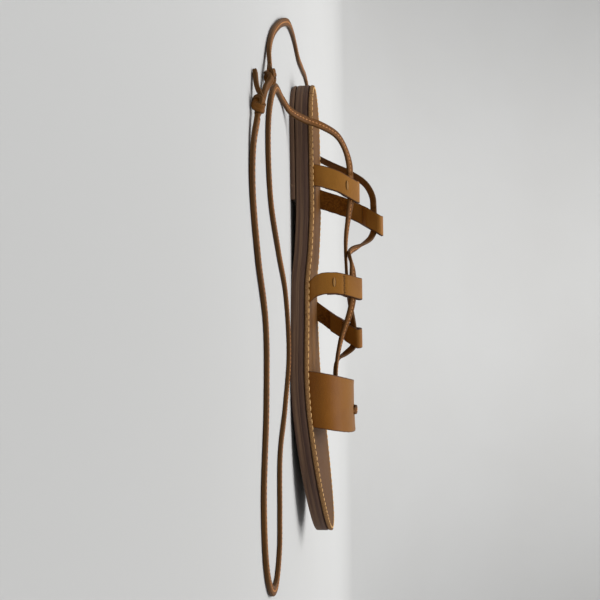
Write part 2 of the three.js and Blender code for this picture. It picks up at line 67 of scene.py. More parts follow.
def paint(red, green, blue):
    """Linear colour of an 8-bit display colour."""
    def linear(value):
        value /= 255
        return value / 12.92 if value <= 0.04045 else ((value + 0.055) / 1.055) ** 2.4
    return (linear(red), linear(green), linear(blue), 1.0)


def soft_light(name, place, aim, size, power):
    data = bpy.data.lights.new(name, "AREA")
    data.shape = "DISK"
    data.size = size
    data.energy = power
    light = bpy.data.objects.new(name, data)
    bpy.context.collection.objects.link(light)
    light.location = place
    light.rotation_euler = (Vector(aim) - Vector(place)).to_track_quat("-Z", "Y").to_euler()


soft_light("overhead", (0.25, -0.35, 1.15), (0, 0, 0), size=0.9, power=4.5)
soft_light("front_fill", (1.3, 0.1, 0.6), (0, 0, 0.02), size=1.1, power=1.7)
soft_light("backdrop", (-0.35, 0.0, 1.35), (-1.5, 0.0, 0.15), size=1.6, power=23.0)

world = bpy.data.worlds.new("studio")
world.use_nodes = True
world.node_tree.nodes["Background"].inputs["Color"].default_value = (0.80, 0.82, 0.84, 1)
world.node_tree.nodes["Background"].inputs["Strength"].default_value = 0.36
bpy.context.scene.world = world


class Value:
    """An output socket, wrapped so that shader maths reads as an expression."""

    def __init__(self, finish, socket):
        self.finish = finish
        self.socket = socket

    def math(self, operation, first, second=0.0):
        return self.finish.node("ShaderNodeMath", {"operation": operation}, {0: first, 1: second})

    def __add__(self, other):
        return self.math("ADD", self, other)

    def __sub__(self, other):
        return self.math("SUBTRACT", self, other)

    def __rsub__(self, other):
        return self.math("SUBTRACT", other, self)

    def __mul__(self, other):
        return self.math("MULTIPLY", self, other)

    def __truediv__(self, other):
        return self.math("DIVIDE", self, other)

    def __pow__(self, other):
        return self.math("POWER", self, other)

    def __abs__(self):
        return self.math("ABSOLUTE", self)

    __radd__ = __add__
    __rmul__ = __mul__


class Finish:
    """One material: its shader, and the single way in which its nodes are added."""

    def __init__(self, name, **fixed):
        self.material = bpy.data.materials.new(name)
        self.material.use_nodes = True
        self.tree = self.material.node_tree
        self.tree.nodes.clear()
        self.shader = self.tree.nodes.new("ShaderNodeBsdfPrincipled")
        surface = self.tree.nodes.new("ShaderNodeOutputMaterial")
        self.tree.links.new(self.shader.outputs[0], surface.inputs["Surface"])
        for name, value in fixed.items():
            self.shader.inputs[name.replace("_", " ")].default_value = value

    def node(self, kind, settings=None, inputs=None, out=0):
        made = self.tree.nodes.new(kind)
        for name, value in (settings or {}).items():
            setattr(made, name, value)
        for name, value in (inputs or {}).items():
            socket = self.pick(made.inputs, name)
            if isinstance(value, Value):
                self.tree.links.new(value.socket, socket)
            else:
                socket.default_value = value
        return Value(self, self.pick(made.outputs, out))

    def pick(self, sockets, name):
        if isinstance(name, int):
            return sockets[name]
        exact = [socket for socket in sockets if socket.identifier == name]
        return exact[0] if exact else sockets[name]

    def feed(self, name, value):
        self.tree.links.new(value.socket, self.shader.inputs[name])

    def place(self):
        """Object coordinates, in metres."""
        return self.node("ShaderNodeTexCoord", out="Object")

    def run(self):
        """The piece's own map, in millimetres: along it, then across it."""
        return self.node("ShaderNodeUVMap", {"uv_map": "run"})

    def stretched(self, vector, x, y, z):
        return self.node(
            "ShaderNodeVectorMath", {"operation": "MULTIPLY"}, {0: vector, 1: (x, y, z)})

    def part(self, vector, axis):
        return self.node("ShaderNodeSeparateXYZ", None, {0: vector}, out=axis)

    def grain(self, vector, scale, detail=4.0, roughness=0.55):
        return self.node("ShaderNodeTexNoise", None, {
            "Vector": vector, "Scale": scale, "Detail": detail, "Roughness": roughness})

    def cells(self, vector, scale):
        return self.node(
            "ShaderNodeTexVoronoi", None, {"Vector": vector, "Scale": scale}, out="Distance")

    def step(self, value, low, high):
        """0 below low, 1 above high, smooth between."""
        return self.node("ShaderNodeMapRange", {"interpolation_type": "SMOOTHSTEP"}, {
            "Value": value, "From Min": low, "From Max": high})

    def mix(self, amount, first, second):
        return self.node("ShaderNodeMix", {"data_type": "RGBA"}, {
            "Factor_Float": amount, "A_Color": first, "B_Color": second}, out="Result_Color")

    def tinted(self, colour, mask, low, high, amount, tint):
        """The colour, with so much of the tint where the mask has passed from low to high."""
        return self.mix(self.step(mask, low, high) * amount, colour, tint)

    def bump(self, height, distance):
        self.feed("Normal", self.node("ShaderNodeBump", None, {
            "Height": height, "Distance": distance, "Strength": 1.0}))


def shape(name, points, faces, finishes, kinds=None, run=None):
    """Mesh object from points in millimetres. kinds gives a face's finish, run a corner's map."""
    mesh = bpy.data.meshes.new(name)
    mesh.from_pydata([tuple(c * MM for c in point) for point in points], [], faces)
    for finish in finishes:
        mesh.materials.append(finish.material)
    if kinds is not None:
        mesh.polygons.foreach_set("material_index", kinds)
    if run is not None:
        layer = mesh.uv_layers.new(name="run")
        layer.data.foreach_set("uv", np.array(run, dtype=float).ravel())
    mesh.shade_smooth()
    made = bpy.data.objects.new(name, mesh)
    bpy.context.collection.objects.link(made)
    return made


floor_paint = Finish("floor_paint", Roughness=1.0, Specular_IOR_Level=0.0)
floor_paint.feed("Base Color", floor_paint.mix(
    floor_paint.grain(floor_paint.place(), 2.5, 3.0), paint(193, 192, 190), paint(200, 200, 199)))

FLOOR_NEAR = 2500.0
SWEEP_START = -900.0
SWEEP_RADIUS = 700.0
SWEEP_TOP = 2600.0
SWEEP_HALF_WIDTH = 2600.0
SWEEP_STEPS = 24

sweep_side = [(FLOOR_NEAR, 0.0), (SWEEP_START, 0.0)]
for turn in range(1, SWEEP_STEPS + 1):
    angle = math.pi / 2 * turn / SWEEP_STEPS
    sweep_side.append((SWEEP_START - SWEEP_RADIUS * math.sin(angle),
                       SWEEP_RADIUS - SWEEP_RADIUS * math.cos(angle)))
sweep_side.append((SWEEP_START - SWEEP_RADIUS, SWEEP_TOP))
sweep_points = [(x, y, z) for x, z in sweep_side for y in (-SWEEP_HALF_WIDTH, SWEEP_HALF_WIDTH)]
sweep_faces = [(2 * i, 2 * i + 2, 2 * i + 3, 2 * i + 1) for i in range(len(sweep_side) - 1)]
floor = shape("floor", sweep_points, [tuple(reversed(face)) for face in sweep_faces], [floor_paint])

# ------------------------------------------------------------------ outsole
# A slab of stacked sole leather, 7.1 mm thick, cut to the last and levelled at the edge, stained
# dark brown and burnished. Its top is let out where the turned-in ends of the straps lie.
LENGTH = 261.0
OUTSOLE = 7.1
INSOLE = 2.2
GAP = 0.3
PLAN = [  # station from the heel, middle line, half width
    (0, -2.0, 29), (32, -2.0, 29), (63, -1.0, 28.5), (88, 1.1, 27.2), (108, 2.6, 27.4),
    (128, 3.5, 30.5), (148, 3.5, 36.0), (168, 2.3, 41.2), (188, 0.0, 42.8), (208, -2.3, 41.8),
    (233, -4.8, 38.5), (261, -7.5, 35)]
UNDERSIDE = [
    (0, 3.0), (70, 3.0), (96, 1.9), (119, 0), (161, 0), (178, 0.6), (195, 1.9), (213, 3.7),
    (233, 5.8), (261, 9.0)]
HEEL_ROUND = (29, 2.0)
TOE_ROUND = (67, 2.2)


def along(rows, at, column=1):
    """Smooth value of one column between the rows of a table, level wherever two rows are equal."""
    last = len(rows) - 1
    if at <= rows[0][0]:
        return rows[0][column]
    if at >= rows[last][0]:
        return rows[last][column]

    def grade(j):
        return (rows[j + 1][column] - rows[j][column]) / (rows[j + 1][0] - rows[j][0])

    def slope(j):
        if j == 0:
            return grade(0)
        if j == last:
            return grade(last - 1)
        product = grade(j - 1) * grade(j)
        return 0.0 if product <= 0 else 2 * product / (grade(j - 1) + grade(j))

    i = next(k for k, row in enumerate(rows) if row[0] > at) - 1
    width = rows[i + 1][0] - rows[i][0]
    t = (at - rows[i][0]) / width
    rise = rows[i + 1][column] - rows[i][column]
    bend = (1 - t) * (slope(i) * width - rise) - t * (slope(i + 1) * width - rise)
    return rows[i][column] + rise * t + t * (1 - t) * bend


def underside(station):
    return along(UNDERSIDE, station)


def insole_top(station):
    return underside(station) + OUTSOLE + GAP + INSOLE


def edge(station, side):
    """Across the foot to the edge of the sole: side +1 is the outer one."""
    def rounding(distance, length, power):
        if distance >= length:
            return 1.0
        t = 1 - max(distance, 0) / length
        return max(1 - t ** power, 0) ** (1 / power)
    half = along(PLAN, station, 2) * rounding(station, *HEEL_ROUND)
    return along(PLAN, station, 1) + side * half * rounding(LENGTH - station, *TOE_ROUND)


def running_length(points):
    """Distance along a broken line to each of its points."""
    return np.concatenate([[0], np.cumsum(np.linalg.norm(np.diff(points, axis=0), axis=1))])


def sampled(marks, reach, points):
    """Points of a broken line at the given distances along it."""
    return np.stack([np.interp(marks, reach, points[:, c]) for c in range(points.shape[1])], axis=1)


def plan_loop(stations, inset=0.0):
    """The sole's outline from the heel up the outer side and back down the inner side, set in."""
    ring = [(edge(s, 1), s) for s in stations] + [(edge(s, -1), s) for s in reversed(stations)]
    kept = [p for p, q in zip(ring, ring[-1:] + ring[:-1]) if math.dist(p, q) > 1e-6]
    ring = np.array(kept)
    ahead = np.roll(ring, -1, axis=0) - ring
    ahead /= np.linalg.norm(ahead, axis=1)[:, None]
    before = np.roll(ahead, 1, axis=0)
    inner = np.stack([-ahead[:, 1], ahead[:, 0]], axis=1)
    inner_before = np.stack([-before[:, 1], before[:, 0]], axis=1)
    share = 1 + np.sum(inner * inner_before, axis=1)
    inset = np.broadcast_to(inset, (len(ring),))
    return ring + (inner + inner_before) / share[:, None] * inset[:, None]


def slab(name, stations, levels, finishes, across=24, wander=0.0, upper=None):
    """Closed slab over the plan. A level is an inset, a height rule and the finish of the wall that
    rises from it; upper shapes the top face."""
    count = len(stations)
    base = plan_loop(stations)
    ring_size = len(base)
    distance = running_length(base)
    round_trip = distance[-1] + math.dist(base[0], base[-1])
    points, faces, kinds, run = [], [], [], []
    for row, (inset, height, _) in enumerate(levels):
        rough = np.array([wander * noise.noise((x * 0.9, y * 0.9, row * 0.35)) for x, y in base])
        for x, station in plan_loop(stations, inset + rough):
            points.append((x, station - LENGTH / 2, height(station)))
    for row in range(len(levels) - 1):
        for k in range(ring_size):
            nxt = (k + 1) % ring_size
            low, high = row * ring_size, (row + 1) * ring_size
            faces.append((low + k, low + nxt, high + nxt, high + k))
            kinds.append(levels[row][2])
            far = round_trip if nxt == 0 else distance[nxt]
            heights = [points[i][2] - underside(points[i][1] + LENGTH / 2) for i in faces[-1]]
            run += zip((distance[k], far, far, distance[k]), heights)
    closed_toe = 2 * count - ring_size == 2

    def broad_face(row, shape_rule, finish, flip):
        start = row * ring_size
        columns = []
        for i in range(count):
            outer = start + i
            inner = start + (ring_size - i) % ring_size
            if i == count - 1 and closed_toe:
                inner = outer
            line = [outer]
            a, b = np.array(points[outer]), np.array(points[inner])
            for step in range(1, across):
                x, y, _ = a + (b - a) * step / across
                if inner == outer:
                    line.append(outer)
                    continue
                relief = shape_rule(x, y) if shape_rule else 0
                points.append((x, y, levels[row][1](y + LENGTH / 2) + relief))
                line.append(len(points) - 1)
            columns.append(line + [inner])
        for first, second in zip(columns, columns[1:]):
            for step in range(across):
                corners = [first[step], second[step], second[step + 1], first[step + 1]]
                corners = [c for j, c in enumerate(corners) if c != corners[j - 1]]
                if flip:
                    corners.reverse()
                faces.append(tuple(corners))
                kinds.append(finish)
                run.extend((points[c][1] + LENGTH / 2, points[c][0]) for c in corners)

    broad_face(0, None, levels[0][2], True)
    broad_face(len(levels) - 1, upper, levels[-1][2], False)
    return shape(name, points, faces, finishes, kinds, run)


def cut_out(piece, cutters):
    """Takes the space of the cutters out of the piece."""
    for cutter in cutters:
        modifier = piece.modifiers.new("slot", "BOOLEAN")
        modifier.operation = "DIFFERENCE"
        modifier.solver = "EXACT"
        modifier.object = cutter
    seen = piece.evaluated_get(bpy.context.evaluated_depsgraph_get())
    mesh = bpy.data.meshes.new_from_object(seen)
    piece.modifiers.clear()
    piece.data = mesh


def crisp(piece, angle=35):
    piece.data.shade_smooth()
    piece.data.set_sharp_from_angle(angle=math.radians(angle))


def settle(piece, node):
    """A finished piece rides on the shoe and stands in for its solid, which is hidden."""
    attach(piece, "root")
    if node:
        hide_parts(node)


edge_stain = Finish("stacked_edge_stain", Roughness=0.7, Specular_IOR_Level=0.35)
stack = edge_stain.run()
fine_streak = edge_stain.grain(edge_stain.stretched(stack, 0.035, 3.2, 1), 1.0, 6.0, 0.62)
broad_streak = edge_stain.grain(edge_stain.stretched(stack, 0.011, 0.75, 1), 1.0, 4.0, 0.55)
level = edge_stain.part(stack, "Y")
upper_layer = edge_stain.step(level, 4.1, 4.9)
stain = edge_stain.mix(
    edge_stain.step(broad_streak, 0.35, 0.66), paint(75, 51, 38), paint(113, 85, 62))
stain = edge_stain.mix(upper_layer * 0.55, stain, paint(69, 46, 39))
stain = edge_stain.tinted(stain, fine_streak, 0.54, 0.72, 0.35, paint(140, 109, 82))
stain = edge_stain.tinted(stain, fine_streak, 0.47, 0.30, 0.4, paint(51, 34, 29))
scuff = edge_stain.step(edge_stain.grain(edge_stain.place(), 90, 5.0, 0.7), 0.62, 0.74)
stain = edge_stain.mix(scuff * edge_stain.step(level, 2.4, 0.3) * 0.7, stain, paint(157, 125, 94))
layer_line = 1 - edge_stain.step(abs(level - 4.4), 0.05, 0.3)
stain = edge_stain.mix(layer_line * 0.35, stain, paint(46, 31, 25))
edge_stain.feed("Base Color", stain)
edge_stain.feed("Roughness", 0.58 + fine_streak * 0.3)
edge_stain.bump(fine_streak * 0.5 + broad_streak * 0.3 - layer_line * 0.5, 0.00025)

tread = Finish("sole_tread", Roughness=0.75, Specular_IOR_Level=0.3)
worn = tread.grain(tread.stretched(tread.place(), 1, 0.5, 1), 40, 6.0, 0.6)
pore = tread.cells(tread.place(), 900)
tread_colour = tread.mix(tread.step(worn, 0.38, 0.66), paint(69, 51, 39), paint(117, 91, 69))
drag = tread.grain(tread.stretched(tread.place(), 1, 0.06, 1), 260, 3.0, 0.6)
scratch = tread.step(drag, 0.66, 0.74)
tread.feed("Base Color", tread.mix(scratch * 0.6, tread_colour, paint(148, 119, 91)))
tread.feed("Roughness", 0.62 + worn * 0.25)
tread.bump(worn * 0.5 + pore * 0.25 - scratch * 0.3, 0.0004)



def sole_stations(count):
    """Stations from heel to toe, closer together at both ends, where the outline turns."""
    return [LENGTH / 2 * (1 - math.cos(math.pi * i / count)) for i in range(count + 1)]


def over(rule, rise):
    return lambda station: rule(station) + rise


def wall(rule, rows):
    """Levels of a slab's wall from rows of inset, rise above the rule, and finish."""
    return [(inset, over(rule, rise), finish) for inset, rise, finish in rows]


outsole = slab("stacked_outsole", sole_stations(150), wall(underside, [
    (1.3, 0.0, 1), (0.5, 0.1, 0), (0.12, 0.4, 0), (0.0, 0.9, 0), (0.0, 2.4, 0), (0.02, 3.9, 0),
    (0.07, 4.4, 0), (0.02, 4.8, 0), (0.0, 6.0, 0), (0.08, 6.7, 0), (0.35, 7.0, 0),
    (0.8, OUTSOLE, 1),
]), [edge_stain, tread], wander=0.12)

# The lift is a thinner piece of the same leather, tacked and glued under the heel. Its rear edge
# is ground up off the floor and its straight breast stands across the waist.
HEEL_LIFT = 2.7
HEEL_BREAST = 70.0
HEEL_BEVEL = 1.4
HEEL_BEVEL_LENGTH = 14


def lift_bottom(station):
    return HEEL_BEVEL * max(0.0, 1 - station / HEEL_BEVEL_LENGTH) ** 2


lift_stations = [HEEL_BREAST * (1 - math.cos(math.pi / 2 * i / 50)) for i in range(51)]
lift_levels = wall(lift_bottom, [(0.9, 0.0, 1), (0.3, 0.1, 0), (0.05, 0.35, 0)]) + [
    (0.0, lambda s: max(1.7, lift_bottom(s) + 0.4), 0),
    (0.05, lambda s: 2.2, 0),
    (0.3, lambda s: HEEL_LIFT, 1)]
lift = slab("heel_lift_leather", lift_stations, lift_levels, [edge_stain, tread],
            across=16, wander=0.1)
crisp(lift)
settle(lift, "heel_lift")

# ------------------------------------------------------------------ insole
# The footbed is 2.2 mm natural vegetable leather, its raw edge pale and furry. A seam of thick
# waxed thread 1.5 mm in from the edge holds it down and pulls the edge into small scallops.
STITCH_INSET = 1.5
STITCH_PITCH = 3.5
STITCH_SINK = 0.18
SCALLOPS = 178    # spread over the points of the outline, so they don't fall stitch by stitch
SLOT_INSET = 2.7

bed_leather = Finish("footbed_leather", Specular_IOR_Level=0.1)
spot = bed_leather.place()
mottle = bed_leather.grain(spot, 26, 5.0, 0.6)
hair = bed_leather.grain(bed_leather.stretched(spot, 1, 0.35, 1), 420, 4.0, 0.6)
wear_spot = bed_leather.grain(bed_leather.stretched(spot, 1, 0.6, 1), 14, 2.0, 0.5)
bed_pore = bed_leather.cells(spot, 1500)
bed_colour = bed_leather.mix(
    bed_leather.step(mottle, 0.36, 0.66), paint(100, 64, 27), paint(115, 77, 35))
bed_colour = bed_leather.tinted(bed_colour, wear_spot, 0.52, 0.7, 0.5, paint(89, 53, 22))
bed_colour = bed_leather.tinted(bed_colour, hair, 0.56, 0.72, 0.25, paint(123, 87, 42))
# The footbed is darker towards the toe.
towards_toe = bed_leather.part(spot, "Y") + mottle * 0.02
bed_colour = bed_leather.tinted(bed_colour, towards_toe, 0.03, 0.09, 0.4, paint(74, 54, 40))
bed_leather.feed("Base Color", bed_colour)
bed_leather.feed("Roughness", 0.5 + mottle * 0.25)
bed_leather.bump(hair * 0.35 + bed_pore * 0.3 + mottle * 0.4, 0.00025)

raw_edge = Finish("footbed_raw_edge", Roughness=0.85, Specular_IOR_Level=0.2)
strands = raw_edge.grain(raw_edge.stretched(raw_edge.run(), 0.55, 1.5, 1), 1.6, 6.0, 0.7)
clumps = raw_edge.grain(raw_edge.place(), 260, 4.0, 0.65)
raw_colour = raw_edge.mix(
    raw_edge.step(strands, 0.36, 0.64), paint(123, 85, 48), paint(164, 125, 80))
raw_colour = raw_edge.tinted(raw_colour, clumps, 0.42, 0.30, 0.7, paint(82, 50, 26))
height_up_edge = raw_edge.part(raw_edge.run(), "Y") + strands * 0.8
raw_colour = raw_edge.tinted(raw_colour, height_up_edge, 8.7, 8.0, 0.75, paint(64, 40, 24))
raw_edge.feed("Base Color", raw_colour)
raw_edge.bump(strands * 0.6 + clumps * 0.6, 0.0006)

# Middle, reach and depth of the hollows that a foot has pressed: the heel, the outer and the
# inner ball, and the toes. The lines of the flex creases are places along the foot.
HOLLOWS = [
    (-2, -96, 17, 20, 0.32), (18, 33, 14, 24, 0.22), (-20, 46, 15, 20, 0.3),
    (-24, 96, 9, 11, 0.28), (-5, 98, 6, 7, 0.15), (8, 92, 6, 7, 0.14), (19, 83, 6, 7, 0.12)]
FLEX_LINES = (24.0, 30.5, 38.0)


def footprint(x, y):
    press = sum(depth * math.exp(-((x - cx) / rx) ** 2 - ((y - cy) / ry) ** 2)
                for cx, cy, rx, ry, depth in HOLLOWS)
    flex = sum(0.07 * math.exp(-((y - at - 0.08 * x) / 0.9) ** 2) for at in FLEX_LINES)
    return 0.04 * noise.noise((x * 0.15, y * 0.15, 3.0)) - press - flex


bed_stations = sole_stations(260)
bed_ring = len(plan_loop(bed_stations))
seam_pull = 0.5 - 0.5 * np.cos(np.linspace(0, 2 * math.pi * SCALLOPS, bed_ring, endpoint=False))
bed_bottom = over(underside, OUTSOLE + GAP)
insole = slab("footbed", bed_stations, wall(bed_bottom, [
    (0.9, 0.0, 1), (0.3, 0.08, 1), (0.1, 0.4, 1), (0.05, 1.1, 1),
    (0.12 * seam_pull + 0.05, 1.6, 1), (0.35 * seam_pull + 0.1, 2.0, 0), (0.62, 2.16, 0),
    (1.0, 2.12, 0), (1.5, 1.92, 0), (2.0, 2.12, 0), (2.35, INSOLE, 0),
]), [bed_leather, raw_edge], wander=0.3, upper=footprint)

waxed_thread = Finish("waxed_thread", Roughness=0.6, Specular_IOR_Level=0.4)
ply = waxed_thread.grain(waxed_thread.place(), 1600, 3.0, 0.6)
dull = waxed_thread.grain(waxed_thread.place(), 120, 2.0, 0.5)
thread_colour = waxed_thread.mix(ply, paint(189, 141, 80), paint(248, 202, 131))
waxed_thread.feed("Base Color", waxed_thread.mix(
    waxed_thread.step(dull, 0.56, 0.74) * 0.5, thread_colour, paint(123, 87, 50)))
waxed_thread.bump(ply, 0.0002)


def stitch_tree():
    """Lays one thread stitch on each point, its length along `run` and its crown along `rise`."""
    tree = bpy.data.node_groups.new("thread_stitches", "GeometryNodeTree")
    tree.interface.new_socket("Stitches", in_out="OUTPUT", socket_type="NodeSocketGeometry")
    tree.interface.new_socket("Places", in_out="INPUT", socket_type="NodeSocketGeometry")
    for name in ("Length", "Width", "Height", "Wander"):
        tree.interface.new_socket(name, in_out="INPUT", socket_type="NodeSocketFloat")
    tree.interface.new_socket("Seed", in_out="INPUT", socket_type="NodeSocketInt")
    tree.interface.new_socket("Thread", in_out="INPUT", socket_type="NodeSocketMaterial")

    def add(kind, settings=None, inputs=None):
        node = tree.nodes.new(kind)
        for name, value in (settings or {}).items():
            setattr(node, name, value)
        for name, value in (inputs or {}).items():
            match = [s for s in node.inputs if s.identifier == name]
            socket = match[0] if match else node.inputs[name]
            if isinstance(value, bpy.types.NodeSocket):
                tree.links.new(value, socket)
            else:
                socket.default_value = value
        return node

    given = add("NodeGroupInput").outputs
    run, rise = (
        add("GeometryNodeInputNamedAttribute", {"data_type": "FLOAT_VECTOR"}, {"Name": name})
        for name in ("run", "rise"))
    points = add("GeometryNodeMeshToPoints", None, {"Mesh": given["Places"]})
    bead = add("GeometryNodeMeshUVSphere", None, {"Segments": 8, "Rings": 5, "Radius": 0.5})
    turned = add("FunctionNodeAxesToRotation", {"primary_axis": "Z", "secondary_axis": "X"}, {
        "Primary Axis": rise.outputs[0], "Secondary Axis": run.outputs[0]})
    least = add("ShaderNodeMath", {"operation": "MULTIPLY"}, {0: given["Wander"], 1: -1.0})
    stray = add("FunctionNodeRandomValue", {"data_type": "FLOAT"}, {
        "Min_001": least.outputs[0], "Max_001": given["Wander"], "Seed": given["Seed"]})
    yaw = add("FunctionNodeAxisAngleToRotation", None, {
        "Axis": (0, 0, 1), "Angle": stray.outputs[1]})
    facing = add("FunctionNodeRotateRotation", {"rotation_space": "LOCAL"}, {
        "Rotation": turned.outputs[0], "Rotate By": yaw.outputs[0]})
    share = add("GeometryNodeInputNamedAttribute", {"data_type": "FLOAT"}, {"Name": "share"})
    reach = add("ShaderNodeMath", {"operation": "MULTIPLY"}, {
        0: given["Length"], 1: share.outputs[0]})
    size = add("ShaderNodeCombineXYZ", None, {
        "X": reach.outputs[0], "Y": given["Width"], "Z": given["Height"]})
    laid = add("GeometryNodeInstanceOnPoints", None, {
        "Points": points.outputs[0], "Instance": bead.outputs[0], "Rotation": facing.outputs[0],
        "Scale": size.outputs[0]})
    real = add("GeometryNodeRealizeInstances", None, {"Geometry": laid.outputs[0]})
    dyed = add("GeometryNodeSetMaterial", None, {
        "Geometry": real.outputs[0], "Material": given["Thread"]})
    add("NodeGroupOutput", None, {"Stitches": dyed.outputs[0]})
    return tree


stitches = stitch_tree()


def sew(name, places, thread, length, width, height, wander, seed, shares=None):
    """Stitches at places: a point, the way it runs, the way it faces. shares shorten them."""
    mesh = bpy.data.meshes.new(name)
    mesh.from_pydata([tuple(c * MM for c in place[0]) for place in places], [], [])
    for column, attribute in ((1, "run"), (2, "rise")):
        layer = mesh.attributes.new(attribute, "FLOAT_VECTOR", "POINT")
        ways = np.array([place[column] for place in places], dtype=float)
        layer.data.foreach_set("vector", ways.ravel())
    layer = mesh.attributes.new("share", "FLOAT", "POINT")
    layer.data.foreach_set("value", np.ones(len(places)) if shares is None else np.array(shares))
    seam = bpy.data.objects.new(name, mesh)
    bpy.context.collection.objects.link(seam)
    modifier = seam.modifiers.new("stitches", "NODES")
    modifier.node_group = stitches
    sizes = {"Length": length * MM, "Width": width * MM, "Height": height * MM, "Wander": wander,
             "Seed": seed, "Thread": thread.material}
    for item in stitches.interface.items_tree:
        if item.in_out == "INPUT" and item.name in sizes:
            modifier[item.identifier] = sizes[item.name]
    seen = seam.evaluated_get(bpy.context.evaluated_depsgraph_get())
    sewn = bpy.data.meshes.new_from_object(seen)
    seam.modifiers.clear()
    seam.data = sewn
    sewn.shade_smooth()
    return seam


def joined(piece, other):
    both = [piece, other]
    with bpy.context.temp_override(active_object=piece, object=piece, selected_objects=both,
                                   selected_editable_objects=both):
        bpy.ops.object.join()
    return piece


PROBE = 0.3    # the step over which a line's direction is taken


def evenly(points, pitch):
    """Points at an even pitch along a broken line, with the way it runs at each."""
    points = np.array(points, dtype=float)
    reach = running_length(points)
    count = max(int(round(reach[-1] / pitch)), 1)
    middles = (np.arange(count) + 0.5) * reach[-1] / count
    ways = sampled(middles + PROBE, reach, points) - sampled(middles - PROBE, reach, points)
    return sampled(middles, reach, points), ways / np.linalg.norm(ways, axis=1)[:, None]


seam_ring = plan_loop(bed_stations, STITCH_INSET)
seam_line = [(x, s - LENGTH / 2, insole_top(s) - STITCH_SINK)
             for x, s in np.vstack([seam_ring, seam_ring[:1]])]
seam_places, seam_ways = evenly(seam_line, STITCH_PITCH)
footbed_seam = sew("footbed_seam", [(p, w, (0, 0, 1)) for p, w in zip(seam_places, seam_ways)],
                   waxed_thread, length=3.1, width=0.95, height=0.95, wander=0.09, seed=4)
settle(footbed_seam, None)

# ------------------------------------------------------------------ loop tabs
# Four tabs of 1.6 mm caramel strap leather. Each comes up through a slot in the insole from a
# turned-in end, and its top is folded inwards round the lace. A bar tack holds the fold, and on
# three of the tabs a zigzag row as well.
TAB_WIDTH = 12.0
TAB_LEATHER = 1.6
TUCK = 8.0
TUCK_BEND = 0.4
TUCK_GAP = 0.45
LOOP_LENGTH = 9.5
LOOP_GAP = 2.9
LOOP_CLOSES = (3.5, 5.0)    # it starts to close this far above the row, and takes this long
FOLD_LENGTH = 19.0
ZIGZAG_ACROSS = np.arange(-5.0, 5.1, 1.25)
ZIGZAG_SWING = math.radians(20)
TACK_ACROSS = np.arange(-2.3, 2.4, 0.38)
TACK_HALF = 2.6
TABS = [
    {"name": "tab_heel_lateral", "side": 1, "station": 56.2, "top": 36, "inward": 7.5, "turn": 0,
     "lean": [(12, 0), (24.5, 3.4), (36, 9.1)], "creases": [(3.0, 0.10, 1.6), (9.5, 0.05, 1.2)],
     "tack": 6.6, "row": False},
    {"name": "tab_heel_medial", "side": -1, "station": 62, "top": 49, "inward": 6, "turn": 0,
     "lean": [(12, 0), (31, 7.2), (50, 19)], "creases": [(3.5, 0.10, 1.6), (14.0, 0.07, 1.4)],
     "tack": 15.7, "row": True},
    {"name": "tab_mid_lateral", "side": 1, "station": 121, "top": 36.5, "inward": 8, "turn": -9,
     "lean": [(9.6, 0), (13, -3), (17, -4.6), (23, -5), (36.6, -3)],
     "creases": [(3.0, 0.14, 1.5), (7.5, 0.08, 1.3)], "tack": 15.2, "row": True},
    {"name": "tab_mid_medial", "side": -1, "station": 132.2, "top": 35.5, "inward": 6, "turn": 10,
     "lean": [(9.6, 0), (20.4, 7.8), (34, 15)], "creases": [(3.0, 0.12, 1.5), (8.0, 0.06, 1.2)],
     "tack": 15.7, "row": True},
]


def leather_grain(finish, vector, base, light, dark, size=1.0):
    """Colour and relief shared by the smooth dyed leathers: cloudy dye, fine pebble, open pores."""
    cloud = finish.grain(vector, 34, 4.0, 0.55)
    pebble = finish.cells(vector, 1300 / size)
    pores = finish.step(finish.grain(vector, 2300 / size, 2.0, 0.6), 0.64, 0.76)
    colour = finish.mix(finish.step(cloud, 0.34, 0.68), base, light)
    colour = finish.tinted(colour, pebble, 0.25, 0.6, 0.18, light)
    colour = finish.mix(pores * 0.45, colour, dark)
    relief = pebble * 0.5 + cloud * 0.25 - pores * 0.6
    return colour, relief, cloud


def edge_burnish(finish, half_width, reach):
    """1 at the cut edges of a strap and 0 inside it, slightly uneven."""
    away = half_width - abs(finish.part(finish.run(), "Y"))
    uneven = finish.grain(finish.place(), 300, 2.0, 0.5) * (0.8 * reach)
    return 1 - finish.step(away + uneven - 0.4 * reach, 0.0, reach)


tab_grain = Finish("tab_leather_grain", Specular_IOR_Level=0.15)
tab_colour, tab_pebble, tab_cloud = leather_grain(
    tab_grain, tab_grain.place(), paint(131, 82, 24), paint(152, 101, 35), paint(79, 44, 9))
# Painted shade: each tab is darker towards its foot, low down by the sole.
tab_shade_height = tab_grain.part(tab_grain.place(), "Z")
tab_colour = tab_grain.tinted(tab_colour, tab_shade_height, 0.021, 0.010, 0.35, paint(100, 57, 18))
tab_edges = edge_burnish(tab_grain, TAB_WIDTH / 2, reach=0.7)
tab_colour = tab_grain.mix(tab_edges * 0.6, tab_colour, paint(77, 42, 12))
tab_grain.feed("Base Color", tab_colour)
tab_grain.feed("Roughness", 0.42 + tab_cloud * 0.22)
tab_grain.bump(tab_pebble, 0.00012)

suede = Finish("tab_suede_back", Roughness=0.9, Specular_IOR_Level=0.15)
nap = suede.grain(suede.place(), 900, 5.0, 0.7)
patch = suede.grain(suede.place(), 90, 3.0, 0.6)
suede_colour = suede.mix(suede.step(nap, 0.34, 0.66), paint(100, 55, 9), paint(136, 84, 21))
suede.feed("Base Color", suede.tinted(suede_colour, patch, 0.5, 0.7, 0.5, paint(84, 43, 7)))
suede.bump(nap * 0.8 + patch * 0.4, 0.0004)

